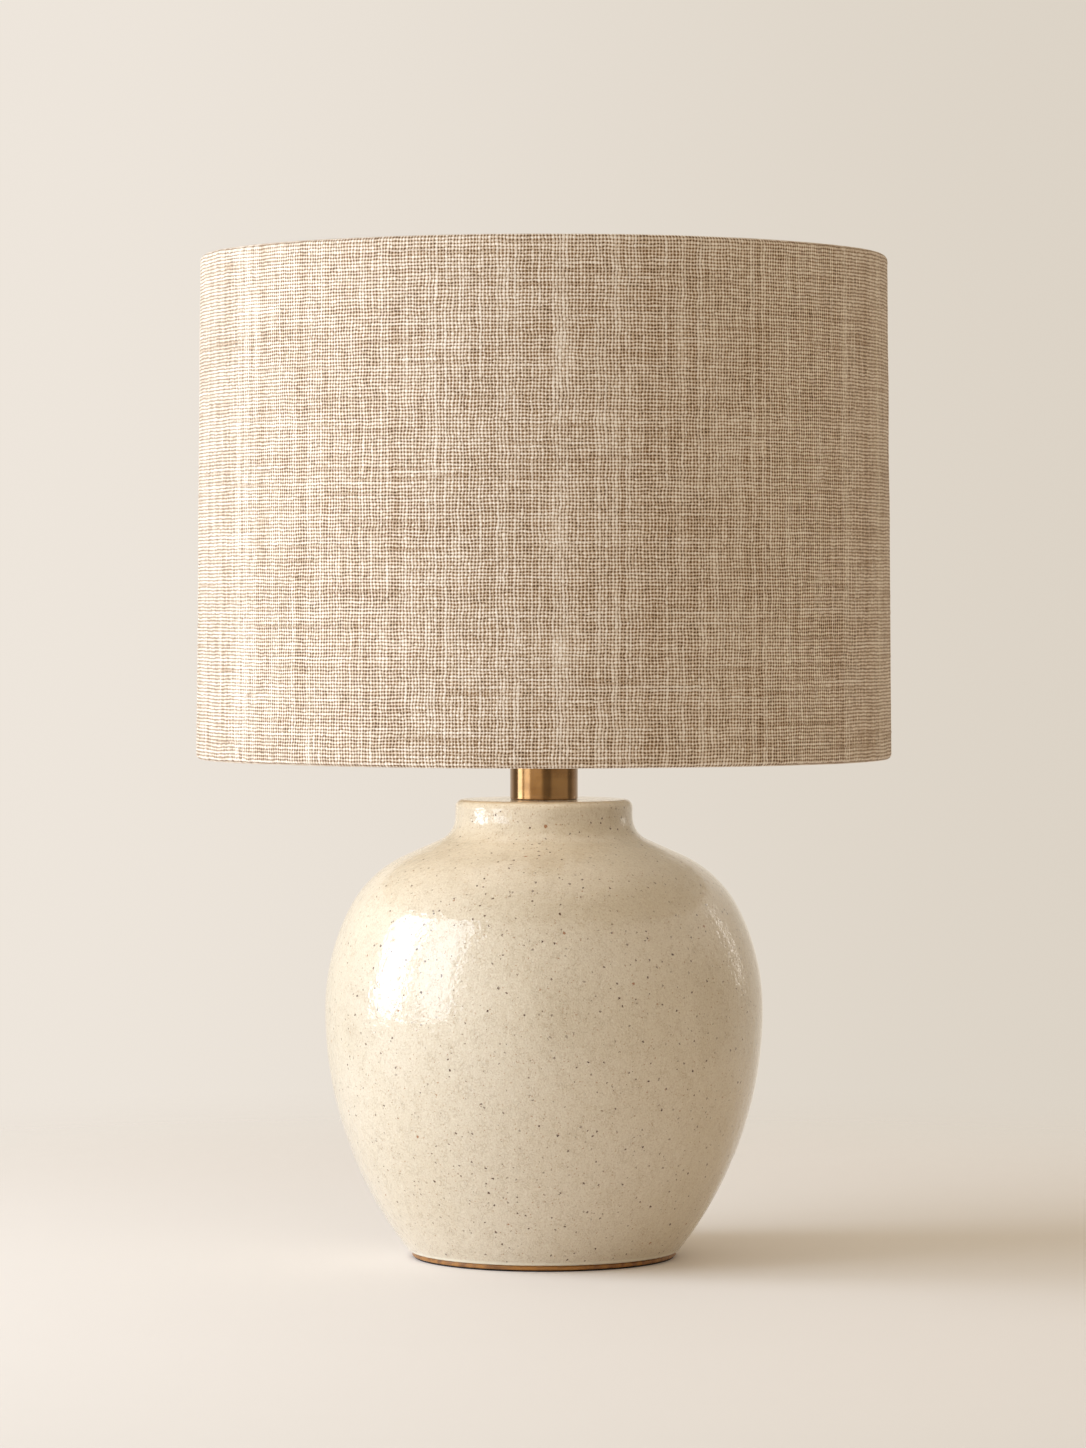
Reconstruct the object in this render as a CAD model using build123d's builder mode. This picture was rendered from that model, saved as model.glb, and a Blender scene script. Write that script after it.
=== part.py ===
from build123d import *
import math
import os

# Ginger jar table lamp: a glazed jar on a thin wooden foot, a brass neck, a lamp socket with a
# turn switch, a lift-off harp with a swivelling seat, and a linen drum shade on a recessed spider.
# Millimetres. The origin is on the table under the middle of the foot, +Z is up, -Y is the front.

# ---------------------------------------------------------------- clearances
fit_gap = 0.1  # between pieces that are pressed, glued or screwed together
slide_gap = 0.25  # round a piece that slides
turn_gap = 0.05  # round a spindle or stud in its bore
seat_gap = 0.2  # under a piece that rests on a piece that it can leave
fold_gap = 0.3  # between a ring's wire and the linen turned round it

# ---------------------------------------------------------------- foot
pad_t = 0.8
pad_inset = 1.2
foot_r = 68.0
foot_disc_t = 2.4
foot_edge_round = 0.7
foot_spigot_h = 4.5
foot_access_r = 32.0

# ---------------------------------------------------------------- jar
belly_r = 112.6
belly_z = 127.3
flank_arc_r = 200.0
upper_arc_r = 115.0
upper_arc_turn = 26.6
shoulder_arc_r = 60.0
shoulder_lean = 66.0
collar_cove_r = 13.0
collar_r = 45.6
deck_z = 235.5
rim_round = 4.0
jar_foot_round = 2.0
jar_wall = 6.0
jar_floor_t = 7.0
jar_base_opening_r = 45.0

# ---------------------------------------------------------------- cord outlet in the jar's back
cord_hole_z = 30.0
cord_bore_r = 4.0
bush_wall = 1.9
bush_flange_r = 8.0
bush_flange_t = 1.8
bush_lip_r = 7.2
bush_lip_t = 1.5
bush_lip_gap = 0.5

# ---------------------------------------------------------------- threaded nipple and its stack
nipple_r = 4.85
nipple_bore_r = 3.3
nipple_hang = 15.5  # below the deck's underside
nipple_rise = 11.0  # above the saddle
hole_gap = 0.3  # between the nipple and the plain holes it passes
gasket_r = 15.0
gasket_t = 2.0
washer_r = 13.5
washer_t = 1.6
lock_washer_r = 8.6
lock_washer_t = 1.5
lock_washer_split = 1.4
nut_flats = 15.0
nut_t = 5.0

# ---------------------------------------------------------------- brass neck
neck_r = 17.5
neck_wall = 1.0
neck_h = 22.5
neck_edge = 0.5
neck_cap_t = 1.5
neck_spigot_h = 3.0
neck_spigot_wall = 1.2

# ---------------------------------------------------------------- harp saddle
strap_t = 1.6
strap_w = 12.7
strap_bend_r = 5.0
leg_spread = 57.0  # between the middles of the harp's two legs
saddle_foot_half = 17.0
saddle_leg_rise = 12.0
saddle_shoulder_rise = 15.5
saddle_tip_h = 13.5
saddle_tip_w = 3.2

# ---------------------------------------------------------------- harp and its sleeves
harp_rod_r = 2.4
harp_h = 226.0  # saddle seat to the top of the crown
harp_w = 106.0  # between the middles of the rods at the widest place
harp_flare_lean = 30.0
harp_flare_r = 30.0
harp_flank_r = 138.0
harp_top_lean = 35.0
harp_leg_spare = 2.0  # straight rod above a raised sleeve
crown_r = 6.5
crown_h = 8.0
sleeve_r = 4.0
sleeve_h = 20.0
sleeve_edge = 0.5
sleeve_travel = 15.0  # enough to bare the joint with the saddle

# ---------------------------------------------------------------- swivel seat on the crown
swivel_shank_r = 2.6
swivel_head_r = 4.2
swivel_head_t = 1.4
seat_disc_r = 11.5
seat_disc_t = 2.0
stud_r = 3.17
stud_h = 14.0
stud_tip_edge = 0.5

# ---------------------------------------------------------------- lamp socket
cap_boss_r = 8.5
cap_boss_h = 8.0
cap_bowl_h = 10.0
cap_rim_h = 8.0
cap_wall = 0.8
set_screw_r = 1.6
set_screw_head_r = 2.2
set_screw_head_t = 0.9
set_screw_slot_w = 0.55
shell_r = 17.0
shell_wall = 0.6
shell_h = 46.0
shell_bead_r = 0.8
shell_tuck = 6.5  # length of the shell inside the cap
liner_wall = 0.8
liner_stand = 1.5
body_h = 20.0
body_flat = 11.6
body_recess_r = 6.0
body_recess_wall = 3.2  # left between the recess and the spindle
screw_shell_r = 14.2
screw_shell_wall = 0.5
screw_shell_h = 24.0
screw_shell_flange_in = 9.6
contact_w = 4.6
contact_t = 0.5
contact_rise = 2.6
contact_tail = 2.9  # flat end of the leaf, on the body
contact_bend_r = 1.0
terminal_screw_r = 1.5
terminal_head_r = 3.0
terminal_head_t = 2.0
terminal_screw_len = 6.0
terminal_slot_w = 0.8

# ---------------------------------------------------------------- turn switch
spindle_r = 1.6
spindle_start = 6.0
spindle_z_in_body = 12.5
knob_r = 4.6
knob_tip_r = 4.0
knob_len = 15.0
knob_tip_round = 1.1
knob_gap = 3.0  # between the shell and the knob
knob_flute_r = 1.1
knob_flute_depth = 0.7
knob_collar = 2.0  # plain end before the flutes
knob_flutes = 10
knob_socket_depth = 8.0

# ---------------------------------------------------------------- bulb
bulb_r = 30.0
bulb_h = 108.0
bulb_neck_r = 12.4
bulb_cove_r = 40.0
bulb_wall = 1.0
bulb_cap_wall = 0.6
bulb_cap_h = 21.0
bulb_insulator_h = 2.6
bulb_contact_r = 4.8
bulb_contact_h = 0.9
bulb_glass_tuck = 12.0

# ---------------------------------------------------------------- shade
shade_h = 257.0
shade_low_r = 178.3
shade_top_r = 175.9
linen_t = 0.7
liner_t = 0.5
ring_wire_r = 1.6
fold_tail = 1.0  # flat end of the turned edge, on top of the ring
spider_drop = 23.2  # rim to the middle of the spider's washer
spider_arms = 3
spider_bend_r = 6.0
spider_washer_r = 13.5
spider_washer_t = 1.8

# ---------------------------------------------------------------- finial
finial_base_r = 7.0
finial_base_h = 3.0
finial_waist_r = 3.9
finial_waist_h = 2.4
finial_ball_r = 6.6
finial_base_round = 1.0
finial_bore_spare = 1.0  # past the end of the stud

# ---------------------------------------------------------------- heights worked out from the sizes
jar_low_z = pad_t + foot_disc_t
deck_under_z = deck_z - jar_wall
neck_top_z = deck_z + neck_h
saddle_z = neck_top_z + neck_cap_t
socket_z = saddle_z + strap_t
nipple_low_z = deck_under_z - nipple_hang
nipple_top_z = socket_z + nipple_rise
hole_r = nipple_r + hole_gap
cap_r = shell_r + fit_gap + cap_wall
cap_rim_z = socket_z + cap_boss_h + cap_bowl_h
cap_top_z = cap_rim_z + cap_rim_h
shell_z = cap_top_z - shell_tuck
shell_top_z = shell_z + shell_h
liner_r = shell_r - shell_wall - fit_gap
body_r = liner_r - liner_wall - fit_gap
body_z = shell_z
body_top_z = body_z + body_h
spindle_z = body_z + spindle_z_in_body
bulb_z = body_top_z + contact_rise + contact_t + seat_gap


def upright(bottom_z, radius, height, bore=0.0):
    """Adds a round slug on the lamp's axis, with a plain bore where one is given."""
    with BuildSketch(Plane.XY.offset(bottom_z)) as section:
        Circle(radius)
        if bore:
            Circle(bore, mode=Mode.SUBTRACT)
    extrude(section.sketch, amount=height)


def turned(points):
    """Adds a turned piece from its half section, given as points (radius, height)."""
    with BuildSketch(Plane.XZ) as section:
        with BuildLine():
            Polyline(*points, close=True)
        make_face()
    revolve(section.sketch, axis=Axis.Z)


# ================================================================ the foot
with BuildPart() as foot_pad:
    upright(0, foot_r - pad_inset, pad_t)
foot_pad.part.label = "foot_pad"

with BuildPart() as foot_disc:
    upright(pad_t, foot_r, foot_disc_t)
    fillet(foot_disc.edges(), radius=foot_edge_round)
    upright(jar_low_z - foot_edge_round, jar_base_opening_r - fit_gap, foot_spigot_h + foot_edge_round)
    with BuildSketch(Plane.XY.offset(pad_t)):
        Circle(foot_access_r)
    extrude(amount=foot_disc_t + foot_spigot_h, mode=Mode.SUBTRACT)
foot_disc.part.label = "foot_disc"


# ================================================================ the jar
def jar_side(inset, low_z, high_z):
    """Draws the jar's side between two heights, inset from the glazed face, and returns its ends."""
    reach = flank_arc_r - inset
    flank_lean = math.degrees(math.asin((belly_z - low_z) / reach))
    belly = (belly_r - inset, belly_z)
    flank = JernArc(belly, (0, -1), reach, -flank_lean)
    upper = JernArc(belly, (0, 1), upper_arc_r - inset, upper_arc_turn)
    shoulder = JernArc(upper @ 1, upper % 1, shoulder_arc_r - inset, shoulder_lean - upper_arc_turn)
    lean = math.radians(shoulder_lean)
    cove_r = collar_cove_r + inset
    cove_start_r = collar_r - inset + cove_r * (1 - math.cos(lean))
    slope_length = ((shoulder @ 1).X - cove_start_r) / math.sin(lean)
    slope = Line(shoulder @ 1, shoulder @ 1 + (shoulder % 1) * slope_length)
    cove = JernArc(slope @ 1, slope % 1, cove_r, -shoulder_lean)
    collar = Line(cove @ 1, (collar_r - inset, high_z))
    return flank @ 1, collar @ 1


flank_lean_at_cord = math.asin((belly_z - cord_hole_z) / flank_arc_r)
cord_hole_y = belly_r - flank_arc_r * (1 - math.cos(flank_lean_at_cord))
cord_out = (0, math.cos(flank_lean_at_cord), -math.sin(flank_lean_at_cord))
cord_plane = Plane(origin=(0, cord_hole_y, cord_hole_z), x_dir=(1, 0, 0), z_dir=cord_out)
cord_hole_r = cord_bore_r + bush_wall + fit_gap

with BuildPart() as jar:
    with BuildSketch(Plane.XZ) as glazed_face:
        with BuildLine():
            low_end, high_end = jar_side(0, jar_low_z, deck_z)
            Polyline(low_end, (0, jar_low_z), (0, deck_z), high_end)
        make_face()
        rims = glazed_face.vertices().filter_by(lambda corner: corner.X > collar_r / 2)
        fillet(rims.sort_by(Axis.Y)[0], radius=jar_foot_round)
        rims = glazed_face.vertices().filter_by(lambda corner: corner.X > collar_r / 2)
        fillet(rims.sort_by(Axis.Y)[-1], radius=rim_round)
    revolve(axis=Axis.Z)
    with BuildSketch(Plane.XZ):
        with BuildLine():
            low_end, high_end = jar_side(jar_wall, jar_low_z + jar_floor_t, deck_under_z)
            Polyline(low_end, (0, jar_low_z + jar_floor_t), (0, deck_under_z), high_end)
        make_face()
    revolve(axis=Axis.Z, mode=Mode.SUBTRACT)
    with BuildSketch(Plane.XY.offset(jar_low_z)):
        Circle(jar_base_opening_r)
    extrude(amount=jar_floor_t, mode=Mode.SUBTRACT)
    with BuildSketch(Plane.XY.offset(deck_under_z)):
        Circle(hole_r)
    extrude(amount=jar_wall, mode=Mode.SUBTRACT)
    with BuildSketch(cord_plane.offset(jar_wall)):
        Circle(cord_hole_r)
    extrude(amount=-3 * jar_wall, mode=Mode.SUBTRACT)
jar.part.label = "jar"

with BuildPart() as cord_bush:
    with BuildSketch(cord_plane.offset(fit_gap)):
        Circle(bush_flange_r)
    extrude(amount=bush_flange_t)
    fillet(cord_bush.faces().sort_by(Axis.Y)[-1].edges(), radius=bush_flange_t / 2)
    with BuildSketch(cord_plane.offset(fit_gap)):
        Circle(cord_hole_r - fit_gap)
    extrude(amount=-(jar_wall + bush_lip_gap + bush_lip_t + fit_gap))
    with BuildSketch(cord_plane.offset(-jar_wall - bush_lip_gap)):
        Circle(bush_lip_r)
    extrude(amount=-bush_lip_t)
    with BuildSketch(cord_plane.offset(fit_gap + bush_flange_t)):
        Circle(cord_bore_r)
    extrude(amount=-(jar_wall + bush_lip_gap + bush_lip_t + fit_gap + bush_flange_t), mode=Mode.SUBTRACT)
cord_bush.part.label = "cord_bush"

# ================================================================ nipple and the stack under the deck
with BuildPart() as threaded_nipple:
    upright(nipple_low_z, nipple_r, nipple_top_z - nipple_low_z, bore=nipple_bore_r)
threaded_nipple.part.label = "threaded_nipple"

gasket_z = deck_under_z - gasket_t
washer_z = gasket_z - washer_t
lock_washer_z = washer_z - lock_washer_t
nut_z = lock_washer_z - nut_t

with BuildPart() as deck_gasket:
    upright(gasket_z, gasket_r, gasket_t, bore=hole_r)
deck_gasket.part.label = "deck_gasket"

with BuildPart() as clamp_washer:
    upright(washer_z, washer_r, washer_t, bore=hole_r)
clamp_washer.part.label = "clamp_washer"

with BuildPart() as lock_washer:
    upright(lock_washer_z, lock_washer_r, lock_washer_t, bore=hole_r)
    with Locations((0, -lock_washer_r, lock_washer_z + lock_washer_t / 2)):
        Box(lock_washer_split, 2 * lock_washer_r, lock_washer_t, mode=Mode.SUBTRACT)
lock_washer.part.label = "lock_washer"

with BuildPart() as clamp_nut:
    with BuildSketch(Plane.XY.offset(nut_z)):
        RegularPolygon(radius=nut_flats / 2, side_count=6, major_radius=False)
        Circle(nipple_r + turn_gap, mode=Mode.SUBTRACT)
    extrude(amount=nut_t)
clamp_nut.part.label = "clamp_nut"

# ================================================================ the brass neck
with BuildPart() as neck_sleeve:
    upright(deck_z, neck_r, neck_h, bore=neck_r - neck_wall)
    chamfer(neck_sleeve.edges().group_by(Axis.Z)[0].sort_by(SortBy.RADIUS)[-1], length=neck_edge)
neck_sleeve.part.label = "neck_sleeve"

with BuildPart() as neck_cap:
    upright(neck_top_z, neck_r, neck_cap_t, bore=hole_r)
    fillet(neck_cap.edges().group_by(Axis.Z)[-1].sort_by(SortBy.RADIUS)[-1], radius=neck_edge)
    spigot_r = neck_r - neck_wall - fit_gap
    upright(neck_top_z - neck_spigot_h, spigot_r, neck_spigot_h, bore=spigot_r - neck_spigot_wall)
neck_cap.part.label = "neck_cap"

# ================================================================ the saddle that holds the harp
leg_x = leg_spread / 2
tip_x = leg_x - strap_t / 2 - fit_gap  # middle of the strap beside the harp's half-lapped end
shoulder_z = saddle_z + saddle_shoulder_rise
tip_top_z = shoulder_z + saddle_tip_h

with BuildPart() as harp_saddle:
    with BuildSketch(Plane.XZ):
        with BuildLine():
            mid_z = saddle_z + strap_t / 2
            FilletPolyline(
                (-tip_x, tip_top_z),
                (-tip_x, saddle_z + saddle_leg_rise),
                (-saddle_foot_half, mid_z),
                (saddle_foot_half, mid_z),
                (tip_x, saddle_z + saddle_leg_rise),
                (tip_x, tip_top_z),
                radius=strap_bend_r,
            )
        trace(line_width=strap_t)
    extrude(amount=strap_w / 2, both=True)
    shoulder_w = (strap_w - saddle_tip_w) / 2
    shoulder_y = (saddle_tip_w + shoulder_w) / 2
    tip_mid_z = (shoulder_z + tip_top_z) / 2
    corners = [(x, y, tip_mid_z) for x in (-tip_x, tip_x) for y in (-shoulder_y, shoulder_y)]
    with Locations(*corners):
        Box(2 * strap_t, shoulder_w, saddle_tip_h, mode=Mode.SUBTRACT)
    with BuildSketch(Plane.XY.offset(saddle_z)):
        Circle(hole_r)
    extrude(amount=strap_t, mode=Mode.SUBTRACT)
harp_saddle.part.label = "harp_saddle"


# ================================================================ the harp, its sleeves and swivel
def two_arc_radii(run, rise, lean):
    """Radii of two tangent arcs that turn a rod from upright to level over a run and a rise."""
    s = math.sin(math.radians(lean))
    c = math.cos(math.radians(lean))
    small = (run - rise * (1 - c) / s) / (c - (1 - c) * (1 - s) / s)
    large = (rise - small * (1 - s)) / s
    return large, small


lap_z = tip_top_z + seat_gap  # the rod's shoulder rests on the saddle's tip
harp_low_z = shoulder_z + seat_gap
crown_top_z = socket_z + harp_h
rod_top_z = crown_top_z - crown_h / 2
flare_start_z = harp_low_z + sleeve_h + sleeve_travel + harp_leg_spare

with BuildLine() as harp_bend:
    leg = Line((leg_x, harp_low_z), (leg_x, flare_start_z))
    flare = JernArc(leg @ 1, leg % 1, harp_flare_r, -harp_flare_lean)
    turn = math.radians(harp_flare_lean)
    widen = harp_w / 2 - (flare @ 1).X - harp_flank_r * (1 - math.cos(turn))
    straight = Line(flare @ 1, flare @ 1 + Vector(widen, widen / math.tan(turn)))
    flank = JernArc(straight @ 1, straight % 1, harp_flank_r, harp_flare_lean)
    large_r, small_r = two_arc_radii((flank @ 1).X - crown_r / 2, rod_top_z - (flank @ 1).Y, harp_top_lean)
    bow = JernArc(flank @ 1, flank % 1, large_r, harp_top_lean)
    top_bend = JernArc(bow @ 1, bow % 1, small_r, 90 - harp_top_lean)
    Line(top_bend @ 1, (0, rod_top_z))
    mirror(about=Plane.YZ)
harp_path = Plane.XZ * harp_bend.line

with BuildPart() as harp:
    with BuildSketch(Plane.XY.offset(harp_low_z)):
        with Locations((leg_x, 0)):
            Circle(harp_rod_r)
    sweep(path=harp_path.edges())
    upright(crown_top_z - crown_h, crown_r, crown_h)
    with BuildSketch(Plane.XY.offset(crown_top_z - crown_h)):
        Circle(swivel_shank_r + turn_gap)
    extrude(amount=crown_h, mode=Mode.SUBTRACT)
    lap_depth = harp_rod_r
    lap_mid_x = leg_x - lap_depth / 2 + fit_gap / 2
    lap_mid_z = (harp_low_z + lap_z) / 2
    with Locations((-lap_mid_x, 0, lap_mid_z), (lap_mid_x, 0, lap_mid_z)):
        Box(lap_depth + fit_gap, 2 * harp_rod_r, lap_z - harp_low_z, mode=Mode.SUBTRACT)
harp.part.label = "harp"

sleeves = []
for side, side_name in ((-1, "left"), (1, "right")):
    with BuildPart() as sleeve:
        with BuildSketch(Plane.XY.offset(shoulder_z + seat_gap)):
            with Locations((side * leg_x, 0)):
                Circle(sleeve_r)
        extrude(amount=sleeve_h)
        chamfer(sleeve.edges(), length=sleeve_edge)
        with BuildSketch(Plane.XY.offset(shoulder_z + seat_gap)):
            with Locations((side * leg_x, 0)):
                Circle(harp_rod_r + slide_gap)
        extrude(amount=sleeve_h, mode=Mode.SUBTRACT)
    sleeve.part.label = f"harp_sleeve_{side_name}"
    sleeves.append(sleeve)

seat_z = crown_top_z + seat_gap
seat_top_z = seat_z + seat_disc_t
stud_top_z = seat_top_z + stud_h
with BuildPart() as swivel_stud:
    head_top_z = crown_top_z - crown_h - seat_gap
    upright(head_top_z - swivel_head_t, swivel_head_r, swivel_head_t)
    upright(head_top_z, swivel_shank_r, seat_z - head_top_z)
    upright(seat_z, seat_disc_r, seat_disc_t)
    upright(seat_top_z, stud_r, stud_h)
    chamfer(swivel_stud.edges().group_by(Axis.Z)[-1], length=stud_tip_edge)
swivel_stud.part.label = "swivel_stud"

# ================================================================ the lamp socket
bowl_z = socket_z + cap_boss_h
with BuildPart() as socket_cap:
    turned([
        (nipple_r + turn_gap, socket_z),
        (cap_boss_r, socket_z),
        (cap_boss_r, bowl_z),
        (cap_r, cap_rim_z),
        (cap_r, cap_top_z),
        (cap_r - cap_wall, cap_top_z),
        (cap_r - cap_wall, cap_rim_z + cap_wall / 2),
        (cap_boss_r - cap_wall, bowl_z + cap_wall),
        (nipple_r + turn_gap, bowl_z + cap_wall),
    ])
    set_screw_z = socket_z + cap_boss_h / 2
    with BuildSketch(Plane.XZ.offset(-cap_boss_r - cap_wall)):
        with Locations((0, set_screw_z)):
            Circle(set_screw_r + turn_gap)
    extrude(amount=cap_boss_r + cap_wall - nipple_r, mode=Mode.SUBTRACT)
socket_cap.part.label = "socket_cap"

with BuildPart() as cap_set_screw:
    with BuildSketch(Plane.XZ.offset(-nipple_r - turn_gap)):
        with Locations((0, set_screw_z)):
            Circle(set_screw_r)
    extrude(amount=-(cap_boss_r + fit_gap - nipple_r - turn_gap))
    with BuildSketch(Plane.XZ.offset(-cap_boss_r - fit_gap)):
        with Locations((0, set_screw_z)):
            Circle(set_screw_head_r)
    extrude(amount=-set_screw_head_t)
    with Locations((0, cap_boss_r + fit_gap + set_screw_head_t, set_screw_z)):
        Box(2 * set_screw_head_r, set_screw_head_t, set_screw_slot_w, mode=Mode.SUBTRACT)
cap_set_screw.part.label = "cap_set_screw"

with BuildPart() as socket_shell:
    upright(shell_z, shell_r, shell_h, bore=shell_r - shell_wall)
    with BuildSketch(Plane.XZ):
        with Locations((shell_r, shell_top_z - shell_bead_r), (shell_r, cap_top_z + 2 * shell_bead_r)):
            Circle(shell_bead_r)
        with Locations((shell_r - shell_bead_r, (shell_z + shell_top_z) / 2)):
            Rectangle(2 * shell_bead_r, shell_h, mode=Mode.SUBTRACT)
    revolve(axis=Axis.Z)
    with BuildSketch(Plane.XZ):
        with Locations((0, spindle_z)):
            Circle(spindle_r + slide_gap)
    extrude(amount=cap_r + shell_bead_r, mode=Mode.SUBTRACT)
socket_shell.part.label = "socket_shell"

with BuildPart() as socket_liner:
    upright(shell_z, liner_r, shell_h + liner_stand, bore=liner_r - liner_wall)
    with BuildSketch(Plane.XZ):
        with Locations((0, spindle_z)):
            Circle(spindle_r + slide_gap)
    extrude(amount=cap_r, mode=Mode.SUBTRACT)
socket_liner.part.label = "socket_liner"

with BuildPart() as socket_body:
    upright(body_z, body_r, body_h)
    flat_mid_x = (body_flat + body_r) / 2
    flat_h = 2 * terminal_head_r + 2 * seat_gap
    with Locations((-flat_mid_x, 0, spindle_z), (flat_mid_x, 0, spindle_z)):
        Box(body_r - body_flat, 2 * body_r, flat_h, mode=Mode.SUBTRACT)
    with BuildSketch(Plane.XY.offset(body_z)):
        Circle(body_recess_r)
    extrude(amount=spindle_z - spindle_r - body_recess_wall - body_z, mode=Mode.SUBTRACT)
    with BuildSketch(Plane.XZ.offset(spindle_start)):
        with Locations((0, spindle_z)):
            Circle(spindle_r + turn_gap)
    extrude(amount=body_r, mode=Mode.SUBTRACT)
    for side in (-1, 1):
        with BuildSketch(Plane.YZ.offset(side * body_flat)):
            with Locations((0, spindle_z)):
                Circle(terminal_screw_r + turn_gap)
        extrude(amount=-side * terminal_screw_len, mode=Mode.SUBTRACT)
socket_body.part.label = "socket_body"

with BuildPart() as screw_shell:
    upright(body_top_z, screw_shell_r, screw_shell_h, bore=screw_shell_r - screw_shell_wall)
    upright(body_top_z, screw_shell_r, screw_shell_wall, bore=screw_shell_flange_in)
screw_shell.part.label = "screw_shell"

with BuildPart() as centre_contact:
    contact_reach = bulb_contact_r
    with BuildSketch(Plane.XZ):
        with BuildLine():
            leaf_z = body_top_z + contact_t / 2
            FilletPolyline(
                (-contact_reach - contact_tail, leaf_z),
                (-contact_reach, leaf_z),
                (0, leaf_z + contact_rise),
                (contact_reach, leaf_z + contact_rise),
                radius=contact_bend_r,
            )
        trace(line_width=contact_t)
    extrude(amount=contact_w / 2, both=True)
centre_contact.part.label = "centre_contact"

with BuildPart() as terminal_screws:
    for side in (-1, 1):
        with BuildSketch(Plane.YZ.offset(side * (body_flat + turn_gap))):
            with Locations((0, spindle_z)):
                Circle(terminal_head_r)
        extrude(amount=side * terminal_head_t)
        with BuildSketch(Plane.YZ.offset(side * (body_flat + turn_gap))):
            with Locations((0, spindle_z)):
                Circle(terminal_screw_r)
        extrude(amount=-side * (terminal_screw_len - fit_gap))
        with Locations((side * (body_flat + terminal_head_t), 0, spindle_z)):
            Box(terminal_head_t, 2 * terminal_head_r, terminal_slot_w, mode=Mode.SUBTRACT)
terminal_screws.part.label = "terminal_screws"

# ================================================================ the turn switch
knob_start = shell_r + knob_gap
with BuildPart() as switch_spindle:
    with BuildSketch(Plane.XZ.offset(spindle_start + fit_gap)):
        with Locations((0, spindle_z)):
            Circle(spindle_r)
    extrude(amount=knob_start + knob_socket_depth - spindle_start - 2 * fit_gap)
switch_spindle.part.label = "switch_spindle"

with BuildPart() as switch_knob:
    with BuildSketch(Plane.XZ.offset(knob_start)):
        with Locations((0, spindle_z)):
            Circle(knob_r)
    with BuildSketch(Plane.XZ.offset(knob_start + knob_len)):
        with Locations((0, spindle_z)):
            Circle(knob_tip_r)
    loft()
    fillet(switch_knob.faces().sort_by(Axis.Y)[0].edges(), radius=knob_tip_round)
    with BuildSketch(Plane.XZ.offset(knob_start + knob_collar)):
        with Locations((0, spindle_z)):
            with PolarLocations(knob_r + knob_flute_r - knob_flute_depth, knob_flutes):
                Circle(knob_flute_r)
    extrude(amount=knob_len, mode=Mode.SUBTRACT)
    with BuildSketch(Plane.XZ.offset(knob_start)):
        with Locations((0, spindle_z)):
            Circle(spindle_r + fit_gap)
    extrude(amount=knob_socket_depth, mode=Mode.SUBTRACT)
switch_knob.part.label = "switch_knob"

# ================================================================ the bulb
bulb_cap_z = bulb_z + bulb_contact_h + bulb_insulator_h
bulb_cap_top_z = bulb_cap_z + bulb_cap_h
bulb_cap_r = bulb_neck_r + fit_gap + bulb_cap_wall
globe_z = bulb_z + bulb_h - bulb_r


def bulb_side(inset, low_z):
    """Draws the glass from low_z to its crown, inset from the outer face."""
    outer_reach = bulb_cove_r + bulb_r
    across = bulb_cove_r + bulb_neck_r
    drop = math.sqrt(outer_reach**2 - across**2)
    lean = math.degrees(math.atan2(drop, across))
    neck = Line((bulb_neck_r - inset, low_z), (bulb_neck_r - inset, globe_z - drop))
    cove = JernArc(neck @ 1, neck % 1, bulb_cove_r + inset, -lean)
    globe = JernArc(cove @ 1, cove % 1, bulb_r - inset, lean + 90)
    return neck @ 0, globe @ 1


glass_low_z = bulb_cap_top_z - bulb_glass_tuck
with BuildPart() as bulb_globe:
    with BuildSketch(Plane.XZ):
        with BuildLine():
            low_end, crown = bulb_side(0, glass_low_z)
            Polyline(low_end, (0, glass_low_z), crown)
        make_face()
    revolve(axis=Axis.Z)
    with BuildSketch(Plane.XZ):
        with BuildLine():
            low_end, crown = bulb_side(bulb_wall, glass_low_z)
            Polyline(low_end, (0, glass_low_z), crown)
        make_face()
    revolve(axis=Axis.Z, mode=Mode.SUBTRACT)
bulb_globe.part.label = "bulb_globe"

with BuildPart() as bulb_cap:
    upright(bulb_cap_z, bulb_cap_r, bulb_cap_h, bore=bulb_cap_r - bulb_cap_wall)
bulb_cap.part.label = "bulb_cap"

with BuildPart() as bulb_insulator:
    low_z = bulb_z + bulb_contact_h
    inner_r = bulb_cap_r - bulb_cap_wall - fit_gap
    turned([
        (0, low_z),
        (bulb_contact_r, low_z),
        (inner_r, bulb_cap_z),
        (inner_r, bulb_cap_z + bulb_insulator_h),
        (0, bulb_cap_z + bulb_insulator_h),
    ])
bulb_insulator.part.label = "bulb_insulator"

with BuildPart() as bulb_contact:
    upright(bulb_z, bulb_contact_r, bulb_contact_h - turn_gap)
    chamfer(bulb_contact.edges().group_by(Axis.Z)[0], length=bulb_contact_h / 3)
bulb_contact.part.label = "bulb_contact"

# ================================================================ the shade
spider_z = seat_top_z + seat_gap + spider_washer_t / 2
shade_top_z = spider_z + spider_drop
shade_low_z = shade_top_z - shade_h
fold_r = ring_wire_r + fold_gap + linen_t / 2  # middle of the linen, round the ring's wire
low_ring = (shade_low_r - linen_t / 2 - fold_r, shade_low_z + linen_t / 2 + fold_r)
top_ring = (shade_top_r - linen_t / 2 - fold_r, shade_top_z - linen_t / 2 - fold_r)
taper = math.atan2(low_ring[0] - top_ring[0], top_ring[1] - low_ring[1])
lining_low_z = low_ring[1] + fold_r + linen_t / 2 + fit_gap
lining_top_z = top_ring[1] - fold_r - linen_t / 2 - fit_gap


def linen_inner_r(height):
    """Radius of the linen wall's inner face at a height."""
    wire_side = low_ring[0] + (fold_r - linen_t / 2) / math.cos(taper)
    return wire_side - (height - low_ring[1]) * math.tan(taper)


arm_r = linen_inner_r(lining_top_z) - liner_t - 2 * fit_gap - ring_wire_r

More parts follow.
